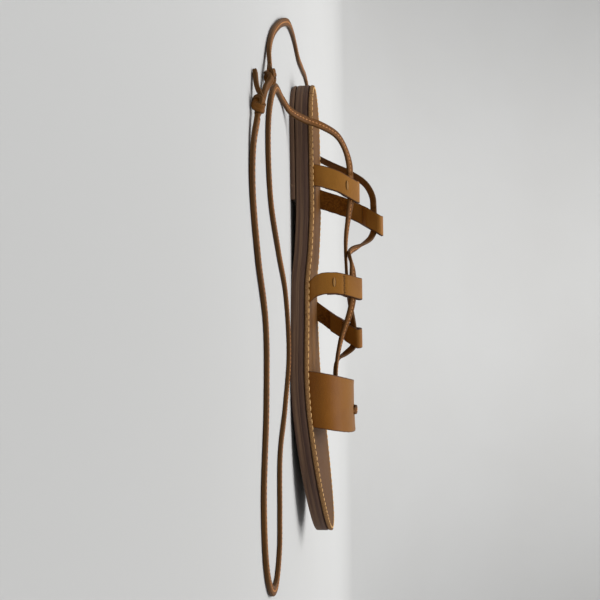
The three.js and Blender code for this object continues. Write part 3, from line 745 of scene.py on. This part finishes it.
cut_edge = Finish("tab_cut_edge", Roughness=0.6, Specular_IOR_Level=0.3)
fibre = cut_edge.grain(cut_edge.stretched(cut_edge.run(), 0.5, 4.0, 1), 1.5, 5.0, 0.65)
cut_edge.feed("Base Color", cut_edge.mix(
    cut_edge.step(fibre, 0.35, 0.65), paint(65, 36, 14), paint(103, 63, 26)))
cut_edge.bump(fibre, 0.0003)



def thread_finish(name, scale, detail, dark, light):
    """Sewing thread whose fine ply runs between two colours, and the ply for its relief."""
    thread = Finish(name, Roughness=0.55, Specular_IOR_Level=0.4)
    ply = thread.grain(thread.place(), scale, detail, 0.6)
    thread.feed("Base Color", thread.mix(ply, dark, light))
    return thread, ply


tab_thread, tab_ply = thread_finish(
    "tab_thread", 1800, 3.0, paint(115, 74, 26), paint(155, 108, 49))
tab_thread.bump(tab_ply, 0.00015)
tack_thread, _ = thread_finish(
    "tack_thread", 1800, 3.0, paint(158, 112, 56), paint(196, 148, 84))

# Painted shade: flat dark beads stand for the shade inside the needle holes and in the dent round
# each bar tack, which are not cut into the leather.
needle_hole_shade = Finish("needle_hole_shade", Roughness=0.9, Specular_IOR_Level=0.1)
needle_hole_shade.feed("Base Color", needle_hole_shade.mix(
    needle_hole_shade.grain(needle_hole_shade.place(), 1500), paint(46, 27, 13), paint(72, 44, 22)))


def tuck_points(leather, grow):
    """The strap's end under the insole and the bend up through the slot, out of the foot and up."""
    middle = -INSOLE - TUCK_GAP - leather / 2
    radius = TUCK_BEND + leather / 2
    bend = [(-radius + radius * math.cos(a), middle + radius + radius * math.sin(a))
            for a in np.linspace(-math.pi / 2, 0, 7)]
    return [(-radius - TUCK - grow, middle)] + bend


def resample(line, pitch):
    line = np.array(line, dtype=float)
    reach = running_length(line)
    marks = np.linspace(0, reach[-1], int(math.ceil(reach[-1] / pitch)) + 1)
    return sampled(marks, reach, line), marks


class Strap:
    """A strap's middle line in the plane across the foot, with its outward side."""

    def __init__(self, line, pitch, place):
        self.line, self.marks = resample(line, pitch)
        tangent = np.gradient(self.line, axis=0)
        tangent /= np.linalg.norm(tangent, axis=1)[:, None]
        self.out = np.stack([tangent[:, 1], -tangent[:, 0]], axis=1)
        self.place = place

    def at(self, mark, across, lift):
        """Point of the strap at a distance along it, across it, and out from its middle."""
        x, z = (np.interp(mark, self.marks, self.line[:, c]) for c in (0, 1))
        ox, oz = (np.interp(mark, self.marks, self.out[:, c]) for c in (0, 1))
        return np.array(self.place(x + ox * lift, across, z + oz * lift))

    def pose(self, mark, across, lift, turn=0.0):
        """A stitch's point, run and rise on the strap; turn swings it from across towards along."""
        here = self.at(mark, across, lift)
        side = self.at(mark, across + PROBE, lift) - here
        ahead = self.at(mark + PROBE, across, lift) - here
        way = (math.cos(turn) * side / np.linalg.norm(side)
               + math.sin(turn) * ahead / np.linalg.norm(ahead))
        return here, way, (self.at(mark, across, lift + PROBE) - here) / PROBE


def strap_section(thickness, width, parts, soft):
    """Rounded section as (out, across) pairs with each side's finish: grain, edge, back, edge."""
    rows = []
    flat = width / 2 - soft
    for i in range(parts + 1):
        rows.append((thickness / 2, -flat + 2 * flat * i / parts, 0 if i < parts else 1))
    for angle in (30, 60, 90):
        a = math.radians(angle)
        rows.append((thickness / 2 - soft * (1 - math.cos(a)), flat + soft * math.sin(a), 1))
    for angle in (90, 60, 30):
        a = math.radians(angle)
        rows.append((-thickness / 2 + soft * (1 - math.cos(a)), flat + soft * math.sin(a), 1))
    back = [(-out, -across) for out, across, _ in rows]
    kinds = [2 if i < parts else 1 for i in range(len(back))]
    return rows + [(*point, kind) for point, kind in zip(back, kinds)]


def strap_mesh(name, strap, section, finishes, flip, relief=None, wander=0.0):
    """Sweeps the section along a strap. relief(mark, across, out) is how far a point is sunk, and
    wander how far the cut edges stray."""
    size = len(section)
    edge_from = -section[0][1] - 0.01
    points, faces, kinds, run = [], [], [], []
    for mark in strap.marks:
        for out, across, _ in section:
            if wander and abs(across) > edge_from:
                across += wander * noise.noise((mark * 0.35, out * 0.4, across))
            sunk = relief(mark, across, out) if relief else 0.0
            points.append(strap.at(mark, across, out - sunk))
    for ring, (mark, after) in enumerate(zip(strap.marks, strap.marks[1:])):
        low, high = ring * size, (ring + 1) * size
        for j in range(size):
            nxt = (j + 1) % size
            quad = (low + j, low + nxt, high + nxt, high + j)
            corners = [(mark, section[j][1]), (mark, section[nxt][1]),
                       (after, section[nxt][1]), (after, section[j][1])]
            faces.append(quad[::-1] if flip else quad)
            kinds.append(section[j][2])
            run += corners[::-1] if flip else corners
    ends = ((0, not flip), ((len(strap.marks) - 1) * size, flip))
    for start, backwards in ends:
        cap = list(range(start, start + size))
        faces.append(tuple(reversed(cap)) if backwards else tuple(cap))
        kinds.append(1)
        run += [(strap.marks[-1], section[i - start][1]) for i in faces[-1]]
    return shape(name, points, faces, finishes, kinds, run)


def bezier(a, b, c, d, t):
    return tuple((1 - t) ** 3 * p + 3 * (1 - t) ** 2 * t * q + 3 * (1 - t) * t * t * r + t ** 3 * s
                 for p, q, r, s in zip(a, b, c, d))


def tab_strap(tab, grow=0.0):
    """The whole tab, its marks at the insole and at the fold, and the length of the turn."""
    base = insole_top(tab["station"])
    rise = tab["top"] - base
    inward = tab["inward"]
    handles = ((0, 0), (0.8, rise * 0.45), (-inward * 0.35, rise * 0.75), (-inward, rise))
    dense = [bezier(*handles, t) for t in np.linspace(0, 1, 200)]
    outer, reach = resample(dense, 0.4)
    tangent = np.gradient(outer, axis=0)
    tangent /= np.linalg.norm(tangent, axis=1)[:, None]
    towards_foot = np.stack([-tangent[:, 1], tangent[:, 0]], axis=1)
    fold = []
    for point, way, to_fold in zip(outer, towards_foot, reach[-1] - reach):
        if to_fold <= FOLD_LENGTH:
            t = min(max((to_fold - LOOP_LENGTH + LOOP_CLOSES[0]) / LOOP_CLOSES[1], 0), 1)
            apart = TAB_LEATHER + LOOP_GAP + (GAP - LOOP_GAP) * t * t * (3 - 2 * t)
            fold.append((point + way * apart, apart, way))
    _, apart, way = fold[-1]
    crown = outer[-1] + way * apart / 2
    over_top = [crown - way * math.cos(a) * apart / 2 + tangent[-1] * math.sin(a) * apart / 2
                for a in np.linspace(0, math.pi, 14)[1:-1]]
    start = tuck_points(TAB_LEATHER, grow)
    line = start + list(outer) + over_top + [row[0] for row in reversed(fold)]
    turn = math.radians(tab["turn"])
    middle = edge(tab["station"], tab["side"]) - tab["side"] * (SLOT_INSET + TAB_LEATHER / 2)

    def place(x, y, z):
        x *= tab["side"]
        height = z + base
        return (x * math.cos(turn) - y * math.sin(turn) + middle,
                x * math.sin(turn) + y * math.cos(turn) + tab["station"] - LENGTH / 2
                + along(tab["lean"], height), height)

    strap = Strap(line, 0.45, place)
    tuck_reach = sum(math.dist(p, q) for p, q in zip(start, start[1:] + [tuple(outer[0])]))
    return strap, tuck_reach, tuck_reach + reach[-1], math.pi * apart / 2


cutters = []
for tab in TABS:
    strap, foot_mark, fold_mark, over_fold = tab_strap(tab)

    def tab_relief(mark, across, out):
        if out < 0.3:
            return 0.0
        away = fold_mark - mark
        bend = sum(depth * math.exp(-((mark - foot_mark - at) / width) ** 2)
                   for at, depth, width in tab["creases"])
        rows = 0.2 * math.exp(-((away - LOOP_LENGTH) / 0.9) ** 2) if tab["row"] else 0.0
        wave = 0.07 * noise.noise((mark * 0.12, across * 0.12, tab["station"]))
        return bend + rows + wave

    section = strap_section(TAB_LEATHER, TAB_WIDTH, parts=16, soft=0.42)
    leather = strap_mesh(tab["name"] + "_leather", strap, section, [tab_grain, cut_edge, suede],
                         flip=tab["side"] < 0, relief=tab_relief, wander=0.16)
    crisp(leather, angle=50)
    settle(leather, tab["name"])
    rows, holes = [], []
    second_face = fold_mark + over_fold
    for i, across in enumerate(ZIGZAG_ACROSS if tab["row"] else []):
        lean = 1 if i % 2 else -1
        for mark, lift in ((fold_mark - LOOP_LENGTH, TAB_LEATHER / 2 - 0.12),
                           (second_face + LOOP_LENGTH, TAB_LEATHER / 2 - 0.02)):
            rows.append(strap.pose(mark, across, lift, lean * ZIGZAG_SWING))
            holes.append(strap.pose(mark + lean * 0.22, across + 0.62, lift + 0.1))
    if rows:
        seam = sew(tab["name"] + "_seam", rows, tab_thread,
                   length=0.95, width=0.4, height=0.4, wander=0.08, seed=7)
        # The pricks are painted shade in the needle holes.
        pricks = sew(tab["name"] + "_holes", holes, needle_hole_shade,
                     length=0.75, width=0.75, height=0.16, wander=0.0, seed=8)
        settle(joined(seam, pricks), None)
    tack = [strap.pose(fold_mark - tab["tack"], -0.4 + across, TAB_LEATHER / 2, math.pi / 2)
            for across in TACK_ACROSS]
    oval = [math.sqrt(max(1 - (across / TACK_HALF) ** 2, 0.1)) for across in TACK_ACROSS]
    bar = sew(tab["name"] + "_bar_tack", tack, tack_thread,
              length=1.7, width=0.5, height=0.9, wander=0.05, seed=9, shares=oval)
    # The rim is painted shade round the bar tack.
    rim = sew(tab["name"] + "_tack_rim", tack, needle_hole_shade,
              length=2.5, width=0.7, height=0.2, wander=0.0, seed=9, shares=oval)
    settle(joined(bar, rim), None)
    grown = tab_strap(tab, GAP)[0]
    grown_section = strap_section(TAB_LEATHER + 2 * GAP, TAB_WIDTH + 2 * GAP, parts=1, soft=0.3)
    cutters.append(strap_mesh(tab["name"] + "_slot", grown, grown_section, [edge_stain] * 3,
                              flip=tab["side"] < 0))

# ------------------------------------------------------------------ toe band
# One 30 mm band of smooth 1.8 mm leather arched over the toes from slot to slot. Two slits on its
# crown take the lace, which pulls the crown down a little between them.
BAND_WIDTH = 30.0
BAND_LEATHER = 1.8
BAND_RISE = 21.5
BAND_LEAN = 4.0
BAND_LEAN_POWER = 1.3
BAND_TIP = 1.6                 # the front edge of the crown is this much lower than its back edge
BAND_FEET = (172.5, 162.5)     # station of the back corner: inner foot, outer foot
BAND_POWER = 2.5
BAND_HALF = 40.0
BAND_FOLD = 15.5
SLITS = ((-4.0, 58.6), (6.0, 58.6))
SLIT_RADIUS = 1.3
SLIT_STRAIGHT = 1.4
SLIT_CUT = (25.0, 37.0)
SLIT_SIDES = 24

band_grain = Finish("band_leather_grain", Specular_IOR_Level=0.12)
band_colour, band_pebble, band_cloud = leather_grain(
    band_grain, band_grain.place(), paint(119, 70, 16), paint(134, 84, 23), paint(86, 44, 6),
    size=1.2)
# Painted light and shade: the band is darker low down by the sole, where shade falls, and lighter
# over its crown, where light from above falls.
band_light_and_shade_height = band_grain.part(band_grain.place(), "Z")
band_colour = band_grain.tinted(band_colour, band_light_and_shade_height, 0.019, 0.010, 0.3, paint(92, 50, 11))
band_colour = band_grain.tinted(band_colour, band_light_and_shade_height, 0.022, 0.032, 0.35, paint(123, 86, 36))
band_edges = edge_burnish(band_grain, BAND_WIDTH / 2, reach=0.8)
band_colour = band_grain.mix(band_edges * 0.5, band_colour, paint(87, 49, 16))
band_grain.feed("Base Color", band_colour)
band_grain.feed("Roughness", 0.38 + band_cloud * 0.22)
band_grain.bump(band_pebble, 0.0001)


def band_place(x, y, z):
    across = x / BAND_HALF
    corner = BAND_FEET[0] + (BAND_FEET[1] - BAND_FEET[0]) * (across + 1) / 2
    station = corner + BAND_WIDTH / 2 + y
    outer = edge(station, 1) - SLOT_INSET - BAND_LEATHER / 2
    inner = edge(station, -1) + SLOT_INSET + BAND_LEATHER / 2
    up = max(z, 0) / BAND_RISE
    return ((outer + inner) / 2 + across * (outer - inner) / 2,
            station - LENGTH / 2 + BAND_LEAN * up ** BAND_LEAN_POWER,
            z + insole_top(station) - BAND_TIP * up * (station - corner) / BAND_WIDTH)


def band_strap(pitch, grow=0.0):
    half = [(BAND_HALF + x, z) for x, z in tuck_points(BAND_LEATHER, grow)]
    for angle in np.linspace(0, math.pi / 2, 60):
        reach = max(math.cos(angle), 0) ** (2 / BAND_POWER)
        half.append((BAND_HALF * reach, BAND_RISE * math.sin(angle) ** (2 / BAND_POWER)))
    half[-1] = (0.0, BAND_RISE)
    return Strap(half + [(-x, z) for x, z in reversed(half[:-1])], pitch, band_place)


band = band_strap(0.8)
band_middle = band.marks[-1] / 2


def band_relief(mark, across, out):
    if abs(out) < 0.3:
        return 0.0
    dip = 0.35 * math.exp(-((mark - band_middle + 1.0) / 4.5) ** 2 - ((across + 0.5) / 4.0) ** 2)
    folds = sum(0.10 * math.exp(-((mark - at) / 1.8) ** 2)
                for at in (BAND_FOLD, band.marks[-1] - BAND_FOLD))
    wave = 0.10 * noise.noise((mark * 0.07, across * 0.09, 8.0))
    curl = -0.22 * max(abs(across) - 11.5, 0) ** 2 / 12
    return dip + curl + (folds + wave if out > 0 else 0.0)


band_section = strap_section(BAND_LEATHER, BAND_WIDTH, parts=30, soft=0.5)
toe_band = strap_mesh("toe_band_leather", band, band_section, [band_grain, cut_edge, suede],
                      flip=False, relief=band_relief, wander=0.14)
slit_cutters = []
for index, (x, y) in enumerate(SLITS):
    outline = []
    for a in np.linspace(0.0, 2 * math.pi, SLIT_SIDES, endpoint=False):
        end = SLIT_STRAIGHT if math.sin(a) > 0 else -SLIT_STRAIGHT
        outline.append((x + SLIT_RADIUS * math.cos(a), y + end + SLIT_RADIUS * math.sin(a)))
    points = [(px, py, z) for z in SLIT_CUT for px, py in outline]
    walls = [(i, (i + 1) % SLIT_SIDES, SLIT_SIDES + (i + 1) % SLIT_SIDES, SLIT_SIDES + i)
             for i in range(SLIT_SIDES)]
    caps = [tuple(reversed(range(SLIT_SIDES))), tuple(range(SLIT_SIDES, 2 * SLIT_SIDES))]
    slit_cutters.append(shape("slit_%d" % index, points, walls + caps, [cut_edge]))
cut_out(toe_band, slit_cutters)
crisp(toe_band, angle=50)
settle(toe_band, "toe_band")

grown_section = strap_section(BAND_LEATHER + 2 * GAP, BAND_WIDTH + 2 * GAP, parts=12, soft=0.3)
cutters.append(strap_mesh("toe_band_slot", band_strap(1.6, GAP), grown_section, [edge_stain] * 3,
                          flip=False))
for piece, node, slot in ((outsole, "outsole", "sole_leather"),
                          (insole, "insole", "insole_leather")):
    cut_out(piece, cutters)
    crisp(piece)
    settle(piece, node)
for cutter in cutters + slit_cutters:
    bpy.data.objects.remove(cutter)

# ------------------------------------------------------------------ lace
# A lace of folded strap leather, 4 mm wide and 1.8 mm thick, sewn down its middle. It bars across
# the toe band, drops through both slits, goes through the mid tabs, crosses the instep and leaves
# through the heel tabs.
LACE_WIDTH = 4.0
LACE_STITCH = 2.2
LACE_STITCH_LIFT = 0.76
UP = (0, 0, 1)
HALF_FROM_MEDIAL = [  # place, and the way its outer face looks
    ((1.6, 58.6, 33.1), UP), ((-2.6, 58.6, 33.1), UP), ((-3.6, 58.6, 32.7), (-0.7, 0, 0.7)),
    ((-4.0, 58.6, 31.7), (-1, 0, 0)), ((-4.0, 58.5, 28.6), (-1, 0, 0)),
    ((-4.2, 57.0, 25.2), (-0.8, -0.5, 0.2)), ((-5.2, 52.6, 22.6), (-0.3, -0.5, 0.8)),
    ((-7.2, 45.5, 21.2), (0, -0.1, 1)), ((-9.8, 37.5, 20.6), (-0.1, 0, 1)),
    ((-13.0, 31.0, 22.4), (-0.4, 0.2, 0.9)), ((-16.8, 27.6, 27.0), (-0.7, 0.4, 0.6)),
    ((-19.0, 23.2, 31.8), (-0.86, 0, 0.51)), ((-18.0, 16.9, 32.1), (-0.86, 0, 0.51)),
    ((-17.0, 11.2, 32.1), (-0.86, 0, 0.51)), ((-14.4, 4.2, 31.4), (-0.7, 0, 0.7)),
    ((-8.2, -8.6, 29.8), (-0.4, 0, 0.9)), ((0.0, -24.0, 28.9), (-0.1, 0, 1)),
    ((8.0, -39.6, 29.3), (0.3, 0, 0.95)), ((13.8, -52.4, 31.2), (0.6, 0, 0.8)),
    ((16.1, -60.4, 32.5), (0.77, 0, 0.63)), ((16.3, -67.0, 32.6), (0.77, 0, 0.63)),
    ((16.3, -75.1, 32.4), (0.77, 0, 0.63))]
HALF_FROM_LATERAL = [
    ((0.4, 58.6, 33.1), UP), ((4.6, 58.6, 33.1), UP), ((5.6, 58.6, 32.7), (0.7, 0, 0.7)),
    ((6.0, 58.6, 31.7), (1, 0, 0)), ((6.0, 58.5, 28.6), (1, 0, 0)),
    ((6.3, 57.0, 25.4), (0.8, -0.5, 0.2)), ((7.4, 52.4, 23.2), (0.3, -0.5, 0.8)),
    ((9.6, 43.5, 22.4), (0, -0.1, 1)), ((12.8, 31.0, 23.0), (0.2, 0, 1)),
    ((16.8, 15.0, 26.4), (0.5, 0, 0.85)), ((20.2, 2.6, 31.0), (0.7, 0, 0.7)),
    ((21.6, -5.0, 32.8), (0.79, 0, 0.61)), ((20.8, -11.7, 33.1), (0.79, 0, 0.61)),
    ((19.8, -18.0, 33.1), (0.79, 0, 0.61)), ((16.8, -24.0, 32.8), (0.5, 0, 0.85)),
    ((11.0, -28.6, 31.6), (0.15, 0, 1)), ((4.0, -31.8, 30.8), UP),
    ((-4.6, -34.6, 32.4), (-0.2, 0, 1)), ((-12.4, -37.8, 37.8), (-0.6, 0.2, 0.75)),
    ((-17.6, -42.4, 43.4), (-0.85, 0.2, 0.5)), ((-19.0, -47.4, 45.6), (-0.92, 0, 0.39)),
    ((-19.0, -52.3, 45.7), (-0.92, 0, 0.39)), ((-19.0, -60.4, 45.5), (-0.92, 0, 0.39))]
END_LATERAL = [
    ((16.3, -75.2, 32.4), (0.77, 0, 0.63)), ((16.5, -81, 32.1), (0.72, 0, 0.7)),
    ((20, -88.5, 30), (0.5, 0, 0.85)), ((26.5, -94.5, 26), (0.5, 0, 0.85)),
    ((34, -98, 18.5), (0.7, 0, 0.7)), ((41, -100, 10), (0.7, 0, 0.7)),
    ((50, -102, 3.6), (0.3, 0, 0.95)), ((62, -104, 1.3), UP), ((90, -101, 1.1), UP),
    ((110, -80, 1.1), UP), ((108, -50, 1.1), UP), ((86, -28, 1.1), UP), ((62, -8, 1.1), UP),
    ((54, 22, 1.1), UP), ((72, 46, 1.1), UP), ((92, 64, 1.1), UP), ((96, 88, 1.1), UP),
    ((99, 103, 1.1), UP), ((110, 113, 1.1), UP), ((124, 110, 1.1), UP), ((135, 96, 1.1), UP),
    ((138, 70, 1.1), UP), ((128, 36, 1.1), UP), ((126, 4, 1.1), UP), ((142, -22, 1.1), UP),
    ((151, -46, 1.1), UP), ((150, -62, 1.5), UP), ((147, -72, 2.6), UP)]
END_MEDIAL = [
    ((-19, -60.5, 45.5), (-0.92, 0, 0.39)), ((-19.3, -67.5, 45), (-0.85, 0, 0.5)),
    ((-23, -76, 41), (-0.7, 0, 0.7)), ((-30, -84, 32), (-0.8, 0, 0.6)),
    ((-36.5, -91, 20.5), (-0.8, -0.2, 0.5)), ((-42.5, -98, 9.8), (-0.7, -0.3, 0.6)),
    ((-50, -105, 3.4), (-0.2, -0.2, 0.95)), ((-61, -110.5, 1.3), UP), ((-77, -108, 1.1), UP),
    ((-87, -93, 1.1), UP), ((-86, -72, 1.1), UP), ((-81, -51, 1.1), UP), ((-85, -30, 1.1), UP),
    ((-98, -15, 1.1), UP), ((-116, -14, 1.1), UP), ((-129, -27, 1.1), UP), ((-131, -48, 1.1), UP),
    ((-123, -70, 1.1), UP), ((-117, -93, 1.1), UP), ((-116, -117, 1.1), UP),
    ((-107, -139, 1.1), UP), ((-89, -153, 1.1), UP), ((-66, -158, 1.1), UP),
    ((-42, -156, 1.1), UP), ((-18, -154, 1.1), UP), ((6, -157, 1.1), UP), ((30, -155, 1.1), UP),
    ((54, -146, 1.1), UP), ((78, -134, 1.1), UP), ((98, -121, 1.1), UP), ((108, -111, 1.5), UP),
    ((114, -102, 2.6), UP)]

lace_leather = Finish("lace_leather", Specular_IOR_Level=0.15)
lace_colour, lace_pebble, lace_cloud = leather_grain(
    lace_leather, lace_leather.place(), paint(97, 58, 15), paint(118, 73, 23), paint(55, 31, 6),
    size=0.8)
rolled = edge_burnish(lace_leather, LACE_WIDTH / 2, reach=1.0)
lace_colour = lace_leather.mix(rolled * 0.7, lace_colour, paint(78, 53, 23))
lace_leather.feed("Base Color", lace_colour)
lace_leather.feed("Roughness", 0.44 + lace_cloud * 0.2)
lace_leather.bump(lace_pebble, 0.00014)

lace_thread, _ = thread_finish(
    "lace_thread", 1700, 2.0, paint(176, 110, 52), paint(214, 150, 84))

LACE_SECTION = [  # out and across, round from the sewn face
    (0.80, -1.45), (0.90, -0.85), (0.86, -0.35), (0.72, 0.0), (0.86, 0.35), (0.90, 0.85),
    (0.80, 1.45), (0.62, 1.86), (0.25, 2.0), (0.0, 1.76), (-0.25, 2.0), (-0.62, 1.86),
    (-0.86, 1.45), (-0.90, 0.8), (-0.88, 0.0), (-0.90, -0.8), (-0.86, -1.45), (-0.62, -1.86),
    (-0.25, -2.0), (0.0, -1.76), (0.25, -2.0), (0.62, -1.86)]


def lace_path(route, pitch):
    """Even points along a smooth line through the rows, the way it runs there, the way the sewn
    face looks, and the distance along it."""
    rows = np.array([place for place, _ in route], dtype=float)
    looks = np.array([look for _, look in route], dtype=float)
    held = np.vstack([2 * rows[0] - rows[1], rows, 2 * rows[-1] - rows[-2]])
    points, facings = [], []
    for i in range(len(rows) - 1):
        p0, p1, p2, p3 = held[i:i + 4]
        d0, d1, d2 = (math.dist(a, b) ** 0.5 for a, b in ((p0, p1), (p1, p2), (p2, p3)))
        t1 = ((p1 - p0) / d0 - (p2 - p0) / (d0 + d1) + (p2 - p1) / d1) * d1
        t2 = ((p2 - p1) / d1 - (p3 - p1) / (d1 + d2) + (p3 - p2) / d2) * d1
        for t in np.linspace(0, 1, 24, endpoint=i == len(rows) - 2):
            a = 2 * t ** 3 - 3 * t ** 2 + 1
            b, c = t ** 3 - 2 * t ** 2 + t, t ** 3 - t ** 2
            points.append(a * p1 + (1 - a) * p2 + b * t1 + c * t2)
            facings.append(looks[i] * (1 - t) + looks[i + 1] * t)
    _, counted = resample(np.hstack([points, facings]), pitch)    # a turn of the face adds steps
    reach = running_length(points)
    marks = np.linspace(0, reach[-1], len(counted))
    points = sampled(marks, reach, np.array(points))
    facings = sampled(marks, reach, np.array(facings))
    ways = np.gradient(points, axis=0)
    ways /= np.linalg.norm(ways, axis=1)[:, None]
    facings -= ways * np.sum(facings * ways, axis=1)[:, None]
    facings /= np.linalg.norm(facings, axis=1)[:, None]
    return points, ways, facings, marks


def lace_mesh(name, paths, girth=lambda share: 1.0):
    """Sweeps the lace's section along one path or more, into one piece."""
    size = len(LACE_SECTION)
    points, faces, run = [], [], []
    for line, ways, facings, marks in paths:
        first = len(points)
        across = np.cross(ways, facings)
        for i, mark in enumerate(marks):
            swell = girth(mark / marks[-1])
            soft = 0.04 * noise.noise((mark * 0.09, first * 0.1, 2.0))
            for out, side in LACE_SECTION:
                points.append(line[i] + facings[i] * out * (1 + soft) * swell
                              + across[i] * side * (1 + soft) * swell)
        for i, (mark, after) in enumerate(zip(marks, marks[1:])):
            low, high = first + i * size, first + (i + 1) * size
            for j in range(size):
                nxt = (j + 1) % size
                here, beside = LACE_SECTION[j][1], LACE_SECTION[nxt][1]
                faces.append((low + j, low + nxt, high + nxt, high + j))
                run += [(mark, here), (mark, beside), (after, beside), (after, here)]
        last = first + (len(marks) - 1) * size
        for start, mark, order in ((first, marks[0], -1), (last, marks[-1], 1)):
            cap = list(range(start, start + size))[::order]
            faces.append(tuple(cap))
            run += [(mark, LACE_SECTION[c - start][1]) for c in cap]
    return shape(name, points, faces, [lace_leather], [0] * len(faces), run)


def lace_seam(name, paths, seed):
    """The row of stitches down the middle of the lace's outer face."""
    rows = []
    for line, ways, facings, marks in paths:
        for mark in np.arange(LACE_STITCH, marks[-1] - 1.0, LACE_STITCH):
            here, way, look = (sampled([mark], marks, part)[0] for part in (line, ways, facings))
            rows.append((here + look * LACE_STITCH_LIFT, way, look))
    return sew(name, rows, lace_thread, length=1.7, width=0.62, height=0.5, wander=0.05, seed=seed)


crossing_paths = [lace_path(half, pitch=1.0) for half in (HALF_FROM_MEDIAL, HALF_FROM_LATERAL)]
crossing = joined(lace_mesh("laced_crossing", crossing_paths),
                  lace_seam("crossing_seam", crossing_paths, 11))
settle(crossing, "lace_crossing")

# Each free end finishes in a small overhand knot pulled tight, with a short cut tail.
KNOT_FLOOR = 3.3
KNOT_LENGTH = 9.0
KNOT_TAIL = 10.0
KNOT_LOBE = 0.8
KNOT_DEPTH = 1.35


def knot_girth(share):
    """The lace is squeezed where it is knotted, and full again in the tail."""
    return 0.86 if share < 0.72 else 1.0


def knot_route(route):
    """Rows of a trefoil between the end of the free lace and the tail, as lace_path takes them."""
    last, before = Vector(route[-1][0]), Vector(route[-2][0])
    ahead = last - before
    ahead.z = 0
    ahead.normalize()
    side = Vector((-ahead.y, ahead.x, 0))
    middle = last + ahead * (GAP + KNOT_LENGTH / 2)
    middle.z = KNOT_FLOOR
    rows = [((-KNOT_LENGTH / 2, 0.0, -0.7), UP), ((-3.4, -0.6, -1.0), (0, 0.2, 1))]
    for t in np.linspace(math.pi + 0.55, 3 * math.pi - 0.55, 15):
        x = KNOT_LOBE * (math.sin(t) + 2 * math.sin(2 * t))
        y = KNOT_LOBE * (math.cos(t) - 2 * math.cos(2 * t))
        z = -KNOT_DEPTH * math.sin(3 * t)
        rows.append(((x, y + 0.7, z), (x * 0.35, y * 0.35, z + 0.9)))
    rows += [((3.4, -0.9, 0.5), (0, -0.2, 1)), ((5.2, -0.3, -0.1), UP), ((8.0, 0.0, -1.3), UP),
             ((KNOT_LENGTH / 2 + KNOT_TAIL, 0.3, -2.2), UP)]
    turned = []
    for (x, y, z), (fx, fy, fz) in rows:
        place = middle + ahead * x + side * y + Vector((0, 0, z))
        look = ahead * fx + side * fy + Vector((0, 0, fz))
        turned.append((tuple(place), tuple(look)))
    return turned


for side, route, seed in (("lateral", END_LATERAL, 13), ("medial", END_MEDIAL, 17)):
    path = lace_path(route, pitch=1.4)
    end = joined(lace_mesh("free_end_" + side, [path]),
                 lace_seam("free_end_seam_" + side, [path], seed))
    settle(end, "lace_end_" + side)
    knot = lace_mesh("end_knot_" + side, [lace_path(knot_route(route), pitch=0.5)], knot_girth)
    settle(knot, "lace_knot_" + side)
    [c * MM for c in route[0][0]]
    path[0] * MM
